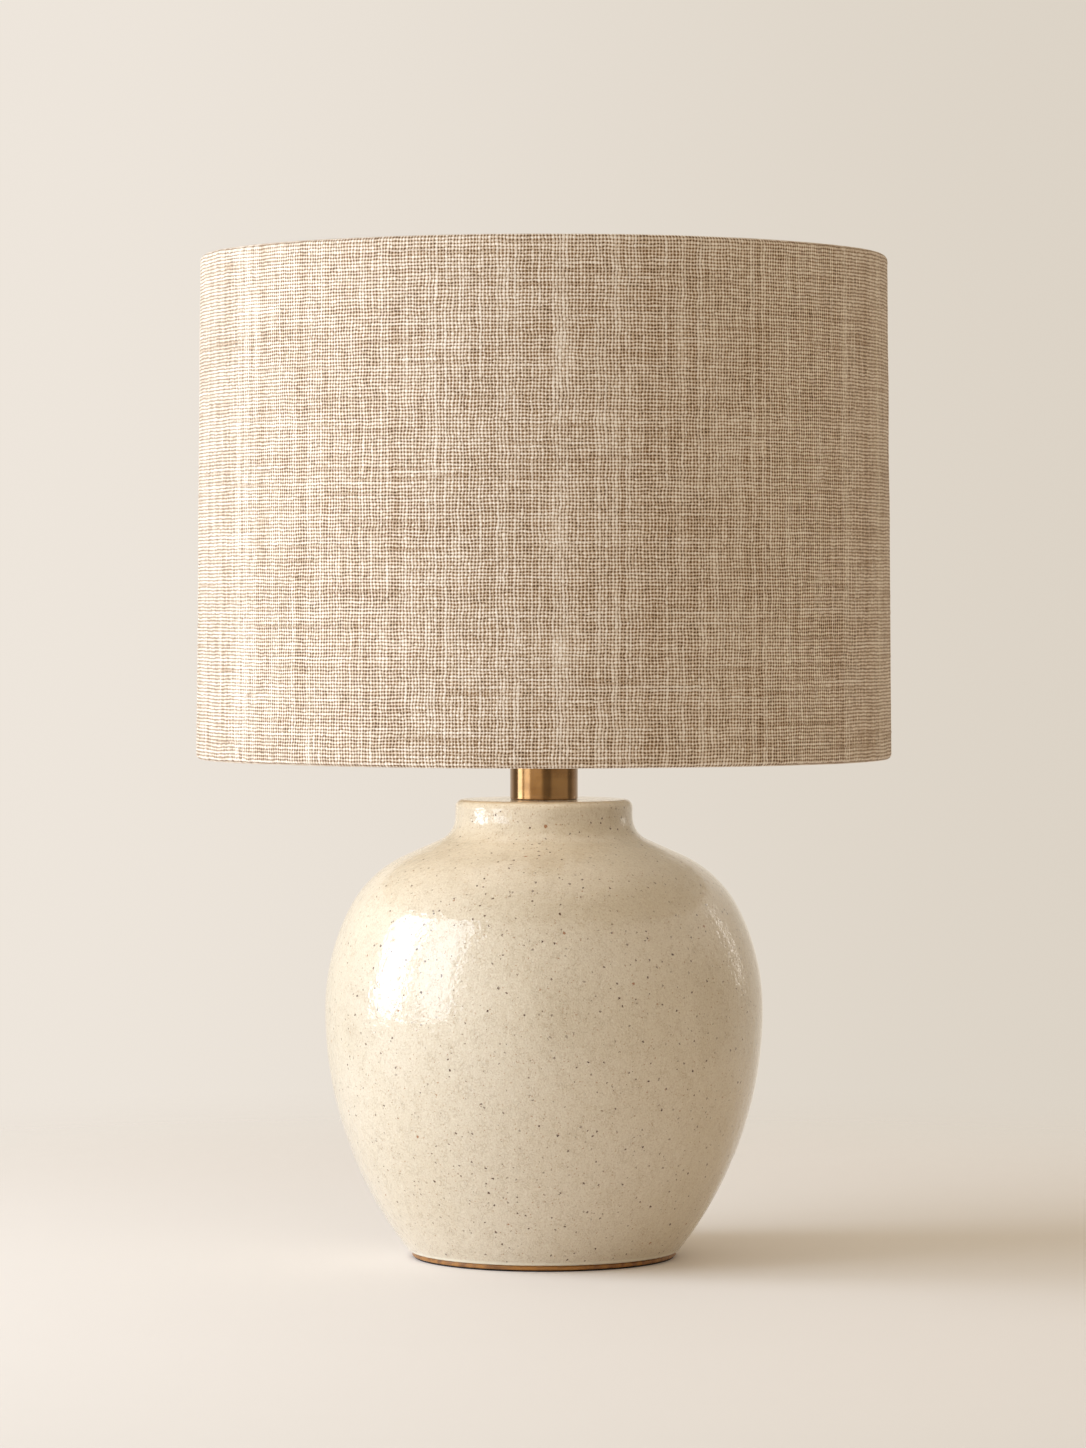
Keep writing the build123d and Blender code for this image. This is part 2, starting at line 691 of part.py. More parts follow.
with BuildPart() as shade_cover:
    with BuildSketch(Plane.XZ):
        with BuildLine():
            out = (fold_r * math.cos(taper), fold_r * math.sin(taper))
            wall_low = (low_ring[0] + out[0], low_ring[1] + out[1])
            wall_top = (top_ring[0] + out[0], top_ring[1] + out[1])
            wall = Line(wall_low, wall_top)
            top_fold = JernArc(wall @ 1, wall % 1, fold_r, 270)
            Line(top_fold @ 1, top_fold @ 1 + (top_fold % 1) * fold_tail)
            low_fold = JernArc(wall @ 0, (wall % 0) * -1, fold_r, -270)
            Line(low_fold @ 1, low_fold @ 1 + (low_fold % 1) * fold_tail)
        trace(line_width=linen_t)
    revolve(axis=Axis.Z)
    notch_w = 2 * (ring_wire_r + slide_gap)
    notch_depth = fold_r + linen_t
    with Locations((0, 0, top_ring[1] + seat_gap - notch_depth / 2)):
        with PolarLocations(arm_r, spider_arms, start_angle=90):
            Box(notch_w, notch_w, notch_depth, mode=Mode.SUBTRACT)
shade_cover.part.label = "shade_cover"

with BuildPart() as shade_lining:
    lining_low_r = linen_inner_r(lining_low_z) - fit_gap
    lining_top_r = linen_inner_r(lining_top_z) - fit_gap
    turned([
        (lining_low_r - liner_t, lining_low_z),
        (lining_low_r, lining_low_z),
        (lining_top_r, lining_top_z),
        (lining_top_r - liner_t, lining_top_z),
    ])
shade_lining.part.label = "shade_lining"

with BuildPart() as shade_ring:
    with BuildSketch(Plane.XZ):
        with Locations(low_ring):
            Circle(ring_wire_r)
    revolve(axis=Axis.Z)
shade_ring.part.label = "shade_ring"

with BuildLine() as arm_bend:
    FilletPolyline(
        (spider_washer_r - ring_wire_r / 2, spider_z),
        (arm_r, spider_z),
        (arm_r, top_ring[1]),
        radius=spider_bend_r,
    )
arm_path = Plane.XZ * arm_bend.line

with BuildPart() as spider_arm:
    with BuildSketch(Plane.YZ.offset(spider_washer_r - ring_wire_r / 2)):
        with Locations((0, spider_z)):
            Circle(ring_wire_r)
    sweep(path=arm_path.edges())

with BuildPart() as shade_fitter:
    with BuildSketch(Plane.XZ):
        with Locations(top_ring):
            Circle(ring_wire_r)
    revolve(axis=Axis.Z)
    upright(spider_z - spider_washer_t / 2, spider_washer_r, spider_washer_t)
    with PolarLocations(0, spider_arms, start_angle=90):
        add(spider_arm.part)
    with BuildSketch(Plane.XY.offset(spider_z - spider_washer_t / 2)):
        Circle(stud_r + slide_gap)
    extrude(amount=spider_washer_t, mode=Mode.SUBTRACT)
shade_fitter.part.label = "shade_fitter"

# ================================================================ the finial
finial_z = spider_z + spider_washer_t / 2 + seat_gap
with BuildPart() as finial:
    waist_z = finial_z + finial_base_h
    ball_low_z = waist_z + finial_waist_h
    ball_z = ball_low_z + math.sqrt(finial_ball_r**2 - finial_waist_r**2)
    with BuildSketch(Plane.XZ):
        with BuildLine():
            Polyline(
                (0, ball_z + finial_ball_r),
                (0, finial_z),
                (finial_base_r, finial_z),
                (finial_base_r, waist_z),
                (finial_waist_r, waist_z),
                (finial_waist_r, ball_low_z),
            )
            ThreePointArc(
                (finial_waist_r, ball_low_z),
                (finial_ball_r, ball_z),
                (0, ball_z + finial_ball_r),
            )
        make_face()
    revolve(axis=Axis.Z)
    fillet(finial.edges().filter_by_position(Axis.Z, waist_z, waist_z).sort_by(SortBy.RADIUS)[-1],
           radius=finial_base_round)
    with BuildSketch(Plane.XY.offset(finial_z)):
        Circle(stud_r + turn_gap)
    extrude(amount=stud_top_z + finial_bore_spare - finial_z, mode=Mode.SUBTRACT)
finial.part.label = "finial"

# ================================================================ written pieces
pieces = [
    foot_pad, foot_disc, jar, cord_bush,
    threaded_nipple, deck_gasket, clamp_washer, lock_washer, clamp_nut,
    neck_sleeve, neck_cap, harp_saddle,
    harp, *sleeves, swivel_stud,
    socket_cap, cap_set_screw, socket_shell, socket_liner, socket_body,
    screw_shell, centre_contact, terminal_screws,
    switch_spindle, switch_knob,
    bulb_globe, bulb_cap, bulb_insulator, bulb_contact,
    shade_cover, shade_lining, shade_ring, shade_fitter, finial,
]
os.makedirs("parts", exist_ok=True)
for piece in pieces:
    export_step(piece.part, f"parts/{piece.part.label}.step")
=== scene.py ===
import logging
import math
from dataclasses import dataclass
from enum import Enum

import bmesh
import bpy
import numpy as np
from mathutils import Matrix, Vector


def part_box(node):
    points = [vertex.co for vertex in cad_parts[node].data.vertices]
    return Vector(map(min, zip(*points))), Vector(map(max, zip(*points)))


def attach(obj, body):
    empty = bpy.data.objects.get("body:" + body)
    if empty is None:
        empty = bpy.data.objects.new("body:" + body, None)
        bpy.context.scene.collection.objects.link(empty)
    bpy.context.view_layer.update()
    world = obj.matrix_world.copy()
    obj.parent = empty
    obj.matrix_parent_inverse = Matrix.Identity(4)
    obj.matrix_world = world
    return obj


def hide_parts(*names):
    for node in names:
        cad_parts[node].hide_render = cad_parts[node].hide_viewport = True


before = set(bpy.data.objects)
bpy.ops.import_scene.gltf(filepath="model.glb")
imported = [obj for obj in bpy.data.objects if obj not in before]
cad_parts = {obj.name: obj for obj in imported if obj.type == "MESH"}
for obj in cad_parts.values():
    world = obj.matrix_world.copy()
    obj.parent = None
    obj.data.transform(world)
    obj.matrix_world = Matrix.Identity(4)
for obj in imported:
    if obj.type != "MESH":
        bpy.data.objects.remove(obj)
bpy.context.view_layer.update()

# A table lamp: a glazed ginger jar on a thin wooden foot, a brass neck, and a drum shade in slub
# linen carried by a harp. Metres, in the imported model's frame: +Z up, -Y to the front.

LOG = logging.getLogger("ginger_jar_lamp")
MM = 0.001
TURN = 2 * math.pi
DAYLIGHT = (0.93, 1.06, 1.23)
NUDGE = 1e-6

Colour = tuple[float, float, float]
Linear = tuple[float, float, float, float]
Place = tuple[float, float, float]
Span = tuple[float, float]
Socket = bpy.types.NodeSocket
Feed = Socket | float | tuple[float, ...]


def tint(red: int, green: int, blue: int) -> Linear:
    """Turns a colour as it looks on a screen into the linear one that a shader takes.

    Args:
        red: Red, 0 to 255.
        green: Green, 0 to 255.
        blue: Blue, 0 to 255.

    Returns:
        The linear colour with full alpha.
    """
    def linear(level: int) -> float:
        """Undoes the screen's curve for one channel."""
        share = level / 255
        return share / 12.92 if share <= 0.04045 else ((share + 0.055) / 1.055) ** 2.4

    return linear(red), linear(green), linear(blue), 1.0


@dataclass(frozen=True)
class Scatter:
    """Round specks, one to a cell at most: the cell's size, the radius, the share of cells with one."""

    spacing: float
    radius: float
    kept: float


class Graph:
    """A node tree, with a short call for each kind of node that the finishes use."""

    def __init__(self, owner: bpy.types.Material | bpy.types.World) -> None:
        """Takes hold of a tree.

        Args:
            owner: The material or world that holds the tree.
        """
        owner.use_nodes = True
        self.nodes = owner.node_tree.nodes
        self.links = owner.node_tree.links

    def feed(self, socket: Socket, value: Feed) -> None:
        """Links a socket to another, or sets its value.

        Args:
            socket: The input that is fed.
            value: An output socket, or a plain value.
        """
        if isinstance(value, Socket):
            self.links.new(value, socket)
        else:
            socket.default_value = value

    def add(self, kind: str, inputs: dict[str | int, Feed], **settings: str) -> bpy.types.Node:
        """Adds a node.

        Args:
            kind: The node's type without the ShaderNode prefix.
            inputs: Input name or number to value or socket.
            **settings: The node's own properties.

        Returns:
            The new node.
        """
        node = self.nodes.new(f"ShaderNode{kind}")
        for key, value in settings.items():
            setattr(node, key, value)
        for key, value in inputs.items():
            self.feed(node.inputs[key], value)
        return node

    def math(self, operation: str, first: Feed, second: Feed = 0.0, third: Feed = 0.0) -> Socket:
        """Returns the result of one sum."""
        node = self.add("Math", {0: first, 1: second, 2: third}, operation=operation)
        return node.outputs[0]

    def plus(self, first: Feed, second: Feed) -> Socket:
        """Returns the total of two numbers."""
        return self.math("ADD", first, second)

    def minus(self, first: Feed, second: Feed) -> Socket:
        """Returns the first number less the second."""
        return self.math("SUBTRACT", first, second)

    def times(self, first: Feed, second: Feed) -> Socket:
        """Returns the product of two numbers."""
        return self.math("MULTIPLY", first, second)

    def sway(self, noise: Feed, reach: float) -> Socket:
        """Returns a 0 to 1 noise as a number about 0, reach from end to end."""
        return self.times(self.minus(noise, 0.5), reach)

    def vector(self, operation: str, first: Feed, second: Feed = (0.0, 0.0, 0.0)) -> Socket:
        """Returns the result of one vector sum."""
        return self.add("VectorMath", {0: first, 1: second}, operation=operation).outputs["Vector"]

    def scaled(self, place: Feed, across: float, along: float, up: float) -> Socket:
        """Returns a place with each axis scaled, which stretches what is read there."""
        return self.vector("MULTIPLY", place, (across, along, up))

    def place(self) -> Socket:
        """Returns the place on the piece, in the lamp's frame."""
        return self.add("TexCoord", {}).outputs["Object"]

    def parts(self, vector: Feed) -> list[Socket]:
        """Returns a vector's three numbers."""
        return list(self.add("SeparateXYZ", {0: vector}).outputs)

    def joined(self, x: Feed, y: Feed, z: Feed = 0.0) -> Socket:
        """Returns three numbers as a vector."""
        return self.add("CombineXYZ", {0: x, 1: y, 2: z}).outputs[0]

    def from_axis(self, x: Feed, y: Feed) -> Socket:
        """Returns the distance from the lamp's axis."""
        return self.math("SQRT", self.plus(self.times(x, x), self.times(y, y)))

    def noise(self, place: Feed, scale: float, detail: float = 2.0, roughness: float = 0.5) -> Socket:
        """Returns smooth noise, about 0.5 on the average."""
        inputs = {"Vector": place, "Scale": scale, "Detail": detail, "Roughness": roughness}
        return self.add("TexNoise", inputs).outputs["Fac"]

    def noise_vector(self, place: Feed, scale: float) -> Socket:
        """Returns three smooth noises as a vector."""
        inputs = {"Vector": place, "Scale": scale, "Detail": 2.0}
        return self.add("TexNoise", inputs).outputs["Color"]

    def dice(self, place: Feed) -> Socket:
        """Returns an even random number for each place."""
        return self.add("TexWhiteNoise", {"Vector": place}, noise_dimensions="3D").outputs["Value"]

    def ease(self, value: Feed, low: Feed, high: Feed, start: float = 0.0, end: float = 1.0) -> Socket:
        """Returns a smooth step from start to end as value goes from low to high."""
        inputs = {"Value": value, "From Min": low, "From Max": high, "To Min": start, "To Max": end}
        return self.add("MapRange", inputs, interpolation_type="SMOOTHSTEP").outputs["Result"]

    def span(self, value: Feed, start: float, end: float) -> Socket:
        """Returns a 0 to 1 value spread straight between two others."""
        return self.add("MapRange", {"Value": value, "To Min": start, "To Max": end}).outputs["Result"]

    def mix(self, share: Feed, first: Feed, second: Feed) -> Socket:
        """Returns a blend of two colours."""
        return self.add("Mix", {0: share, 6: first, 7: second}, data_type="RGBA").outputs[2]

    def specks(self, place: Feed, scatter: Scatter) -> Socket:
        """Returns 1 in round specks that are scattered one to a cell, some cells being empty.

        Args:
            place: Where the specks are read.
            scatter: Their spacing, size and number.

        Returns:
            The socket with the specks' cover.
        """
        inputs = {"Vector": place, "Scale": 1 / scatter.spacing, "Randomness": 1.0}
        cells = self.add("TexVoronoi", inputs, feature="F1")
        draw = self.parts(cells.outputs["Color"])
        size = self.times(self.span(draw[1], 0.45, 1.0), scatter.radius / scatter.spacing)
        inside = self.ease(cells.outputs["Distance"], self.times(size, 0.75), size, 1.0, 0.0)
        return self.times(inside, self.math("LESS_THAN", draw[0], scatter.kept))


class Skin(Graph):
    """A material's nodes round its one shader."""

    def __init__(self, name: str) -> None:
        """Makes an empty material.

        Args:
            name: The material's name.
        """
        self.material = bpy.data.materials.new(name)
        super().__init__(self.material)
        self.shader = self.nodes["Principled BSDF"]

    def relief(self, height: Feed, depth: float, coat_height: Socket | None = None) -> None:
        """Gives the shader a bump, and its clear coat one of its own where that is smoother.

        Args:
            height: A 0 to 1 height.
            depth: What 1 stands for, in metres.
            coat_height: The coat's height on the same scale.
        """
        bump = self.add("Bump", {"Distance": depth, "Height": height})
        self.links.new(bump.outputs[0], self.shader.inputs["Normal"])
        if coat_height is not None:
            skin = self.add("Bump", {"Distance": depth, "Height": coat_height})
            self.links.new(skin.outputs[0], self.shader.inputs["Coat Normal"])

    def finish(self, colour: Feed, roughness: Feed, **constants: float) -> bpy.types.Material:
        """Sets the shader's main sockets.

        Args:
            colour: Base colour, a socket or a plain colour.
            roughness: Roughness, a socket or a number.
            **constants: Other shader inputs, with underscores for spaces, which stay constant.

        Returns:
            The finished material.
        """
        self.feed(self.shader.inputs["Base Color"], colour)
        self.feed(self.shader.inputs["Roughness"], roughness)
        for key, value in constants.items():
            self.shader.inputs[key.replace("_", " ")].default_value = value
        return self.material


# ---------------------------------------------------------------- finishes
@dataclass(frozen=True)
class Glaze:
    """Cream stoneware glaze with iron specks, which runs thin and tan over the jar's rim, with a painted
    highlight along its rounded foot edge.
    """

    milk: Colour = (222, 213, 191)
    cream: Colour = (207, 194, 172)
    blush: Colour = (196, 180, 152)
    bare_edge: Colour = (168, 138, 98)
    iron: Colour = (72, 36, 8)
    rust: Colour = (142, 82, 26)
    dust: Scatter = Scatter(2.0 * MM, 0.50 * MM, 0.70)
    spots: Scatter = Scatter(3.7 * MM, 0.76 * MM, 0.80)
    blots: Scatter = Scatter(9.0 * MM, 1.0 * MM, 0.22)
    pits: Scatter = Scatter(2.6 * MM, 0.6 * MM, 0.5)
    bend: float = 1.7 * MM
    rim_outer: Span = (0.6 * MM, 2.2 * MM)
    rim_inner: Span = (6.0 * MM, 2.6 * MM)
    rim_drop: Span = (3.5 * MM, 1.0 * MM)
    # foot_highlight: the band above the foot where a painted highlight lightens the rounded glaze edge
    foot_highlight: Span = (2.4 * MM, 1.0 * MM)
    depth: float = 0.4 * MM
    roughness: float = 0.42

    def at_rim(self, g: Skin, place: Socket, rim_z: float, rim_r: float) -> Socket:
        """Finds the band where the glaze runs thin.

        Args:
            g: The glaze's nodes.
            place: The place on the jar.
            rim_z: Height of the jar's deck.
            rim_r: Radius of the collar.

        Returns:
            The band's cover, 0 to 1.
        """
        x, y, z = g.parts(place)
        out = g.from_axis(x, y)
        inner = g.ease(out, rim_r - self.rim_inner[0], rim_r - self.rim_inner[1])
        outer = g.ease(out, rim_r - self.rim_outer[0], rim_r - self.rim_outer[1])
        high = g.ease(z, rim_z - self.rim_drop[0], rim_z - self.rim_drop[1])
        return g.times(g.times(inner, outer), high)

    def material(self, foot_z: float, rim_z: float, rim_r: float) -> bpy.types.Material:
        """Builds the glaze.

        Args:
            foot_z: Height of the jar's foot.
            rim_z: Height of the jar's deck.
            rim_r: Radius of the collar.

        Returns:
            The material.
        """
        g = Skin("glaze")
        place = g.place()
        cloud = g.noise(place, 22, 3.0)
        mottle = g.noise(place, 260, 3.0, 0.6)
        oatmeal = g.noise(place, 1150, 3.0, 0.65)
        share = g.plus(g.ease(cloud, 0.25, 0.75, 0.1, 0.4), g.span(mottle, -0.35, 0.35))
        body = g.mix(share, tint(*self.cream), tint(*self.blush))
        body = g.mix(g.ease(oatmeal, 0.50, 0.72, 0.0, 0.30), body, tint(*self.rust))
        body = g.mix(g.ease(oatmeal, 0.46, 0.28, 0.0, 0.50), body, tint(*self.milk))
        ridge = g.math("ABSOLUTE", g.minus(g.noise(place, 430, 2.0), 0.5))
        patch = g.ease(g.noise(place, 170, 2.0), 0.48, 0.60)
        crawl = g.times(g.ease(ridge, 0.030, 0.006), patch)
        body = g.mix(g.times(crawl, 0.30), body, tint(*self.bare_edge))
        twist = g.noise_vector(place, 1100.0)
        bent = g.vector("ADD", place, g.scaled(twist, self.bend, self.bend, self.bend))
        fade = g.ease(g.noise(place, 340, 1.0), 0.35, 0.62, 0.45, 1.0)
        dust = g.times(g.specks(bent, self.dust), g.times(fade, 0.60))
        body = g.mix(dust, body, tint(*self.rust))
        body = g.mix(g.times(g.specks(bent, self.spots), fade), body, tint(*self.iron))
        body = g.mix(g.times(g.specks(bent, self.blots), 0.85), body, tint(*self.rust))
        thin = g.times(self.at_rim(g, place, rim_z, rim_r), g.span(mottle, 0.35, 0.9))
        body = g.mix(thin, body, tint(*self.bare_edge))
        height = g.parts(place)[2]
        # painted highlight: the rounded glaze edge above the foot is painted milk-white
        foot_highlight_band = g.ease(height, foot_z + self.foot_highlight[0], foot_z + self.foot_highlight[1])
        body = g.mix(foot_highlight_band, body, tint(*self.milk))
        smooth = g.plus(g.times(g.noise(place, 60, 2.0), 1.2), g.times(g.noise(place, 330, 2.0), 0.75))
        smooth = g.minus(smooth, g.times(g.specks(bent, self.pits), 0.16))
        rough = g.minus(g.plus(smooth, g.times(oatmeal, 0.55)), g.times(crawl, 0.25))
        g.relief(rough, self.depth, smooth)
        return g.finish(body, self.roughness, Coat_Weight=1.0, Coat_Roughness=0.035, Coat_IOR=1.6)


@dataclass(frozen=True)
class Brass:
    """Turned brass, from bright to satin antique, under a thin lacquer."""

    name: str = "antique_brass"
    bright: Colour = (156, 117, 70)
    dark: Colour = (132, 94, 50)
    roughness: float = 0.15
    lathe_lines: float = 9000.0
    depth: float = 0.008 * MM

    def material(self) -> bpy.types.Material:
        """Builds the brass with lathe lines round the piece and a light patina.

        Returns:
            The material.
        """
        g = Skin(self.name)
        place = g.place()
        x, y, z = g.parts(place)
        ring = g.joined(g.times(g.from_axis(x, y), self.lathe_lines), g.times(z, self.lathe_lines))
        lines = g.noise(ring, 1.0, 3.0, 0.7)
        broad = g.noise(g.scaled(place, 30, 30, 260), 1.0, 2.0)
        patina = g.noise(place, 95, 4.0, 0.6)
        share = g.plus(g.times(patina, 0.7), g.times(broad, 0.35))
        colour = g.mix(g.ease(share, 0.36, 0.72), tint(*self.bright), tint(*self.dark))
        colour = g.mix(g.ease(lines, 0.35, 0.75, 0.0, 0.22), colour, tint(*self.dark))
        rough = g.plus(g.plus(self.roughness, g.sway(patina, 0.22)), g.sway(lines, 0.12))
        g.relief(lines, self.depth)
        return g.finish(colour, rough, Metallic=1.0, Anisotropic=0.25, Coat_Weight=0.5,
                        Coat_Roughness=0.12)


@dataclass(frozen=True)
class Plating:
    """Bright or dull plated steel and stamped aluminium."""

    name: str
    bright: Colour
    dull: Colour
    roughness: float
    depth: float = 0.01 * MM

    def material(self) -> bpy.types.Material:
        """Builds the plating with a fine cloudy grain.

        Returns:
            The material.
        """
        g = Skin(self.name)
        place = g.place()
        cloud = g.noise(place, 160, 4.0, 0.6)
        scratch = g.noise(g.scaled(place, 500, 500, 5200), 1.0, 2.0)
        colour = g.mix(g.ease(cloud, 0.3, 0.75), tint(*self.bright), tint(*self.dull))
        g.relief(scratch, self.depth)
        return g.finish(colour, g.plus(self.roughness, g.sway(scratch, 0.16)), Metallic=1.0)


@dataclass(frozen=True)
class Moulded:
    """Moulded plastic, rubber, fibre, sheet or powder coat: one body colour with its own skin."""

    name: str
    light: Colour
    deep: Colour
    roughness: float
    grain: float = 900.0
    depth: float = 0.02 * MM
    coat: float = 0.0

    def material(self) -> bpy.types.Material:
        """Builds the skin, slightly clouded and finely pebbled.

        Returns:
            The material.
        """
        g = Skin(self.name)
        place = g.place()
        cloud = g.noise(place, 60, 3.0)
        pebble = g.noise(place, self.grain, 3.0, 0.6)
        share = g.plus(g.ease(cloud, 0.3, 0.75, 0.0, 0.7), g.times(pebble, 0.3))
        colour = g.mix(share, tint(*self.light), tint(*self.deep))
        g.relief(pebble, self.depth)
        rough = g.plus(self.roughness, g.sway(pebble, 0.2))
        return g.finish(colour, rough, Coat_Weight=self.coat, Coat_Roughness=0.12)


@dataclass(frozen=True)
class FootWood:
    """Thin turned wooden foot, stained and oiled."""

    honey: Colour = (164, 110, 44)
    walnut: Colour = (112, 70, 28)
    pore: Colour = (58, 34, 18)
    ring_count: float = 420.0
    depth: float = 0.05 * MM

    def material(self) -> bpy.types.Material:
        """Builds straight grain that runs across the foot.

        Returns:
            The material.
        """
        g = Skin("foot_wood")
        place = g.place()
        bow = g.noise(g.scaled(place, 6, 40, 40), 1.0, 2.0)
        x, y, z = g.parts(place)
        across = g.plus(g.times(y, self.ring_count), g.times(bow, 5.0))
        rings = g.noise(g.joined(across, g.times(z, 240.0), g.times(x, 9.0)), 1.0, 3.0)
        pores = g.noise(g.scaled(place, 160, 2600, 2600), 1.0, 2.0)
        colour = g.mix(g.ease(rings, 0.3, 0.72), tint(*self.honey), tint(*self.walnut))
        colour = g.mix(g.ease(pores, 0.56, 0.72, 0.0, 0.55), colour, tint(*self.pore))
        g.relief(g.minus(1.0, g.ease(pores, 0.55, 0.75)), self.depth)
        return g.finish(colour, g.span(rings, 0.38, 0.52), Coat_Weight=0.15, Coat_Roughness=0.3)


@dataclass(frozen=True)
class Felt:
    """Dark pressed felt."""

    light: Colour = (24, 19, 14)
    deep: Colour = (10, 8, 6)
    depth: float = 0.25 * MM

    def material(self) -> bpy.types.Material:
        """Builds matted fibres.

        Returns:
            The material.
        """
        g = Skin("felt")
        place = g.place()
        mat = g.noise(place, 1400, 5.0, 0.75)
        strands = g.noise(g.scaled(place, 900, 3600, 3600), 1.0, 3.0)
        share = g.times(g.plus(mat, strands), 0.5)
        colour = g.mix(g.ease(share, 0.35, 0.65), tint(*self.deep), tint(*self.light))
        g.relief(share, self.depth)
        return g.finish(colour, 0.95, Sheen_Weight=0.06, Sheen_Roughness=0.6)


@dataclass(frozen=True)
class OpalGlass:
    """The bulb's glass, frosted inside."""

    milk: Colour = (246, 243, 236)
    shade: Colour = (228, 223, 212)
    depth: float = 0.004 * MM

    def material(self) -> bpy.types.Material:
        """Builds a milky glass with a smooth skin.

        Returns:
            The material.
        """
        g = Skin("opal_glass")
        place = g.place()
        cloud = g.noise(place, 70, 3.0)
        frost = g.noise(place, 2600, 2.0)
        share = g.plus(g.ease(cloud, 0.3, 0.75, 0.0, 0.6), g.times(frost, 0.25))
        colour = g.mix(share, tint(*self.milk), tint(*self.shade))
        g.relief(frost, self.depth)
        return g.finish(colour, 0.5, Coat_Weight=1.0, Coat_Roughness=0.05, Subsurface_Weight=0.12,
                        Subsurface_Scale=0.004)


@dataclass(frozen=True)
class ThreadSet:
    """One set of parallel threads: what tells its noise apart, and how far its threads differ."""

    seed: float
    swing: float


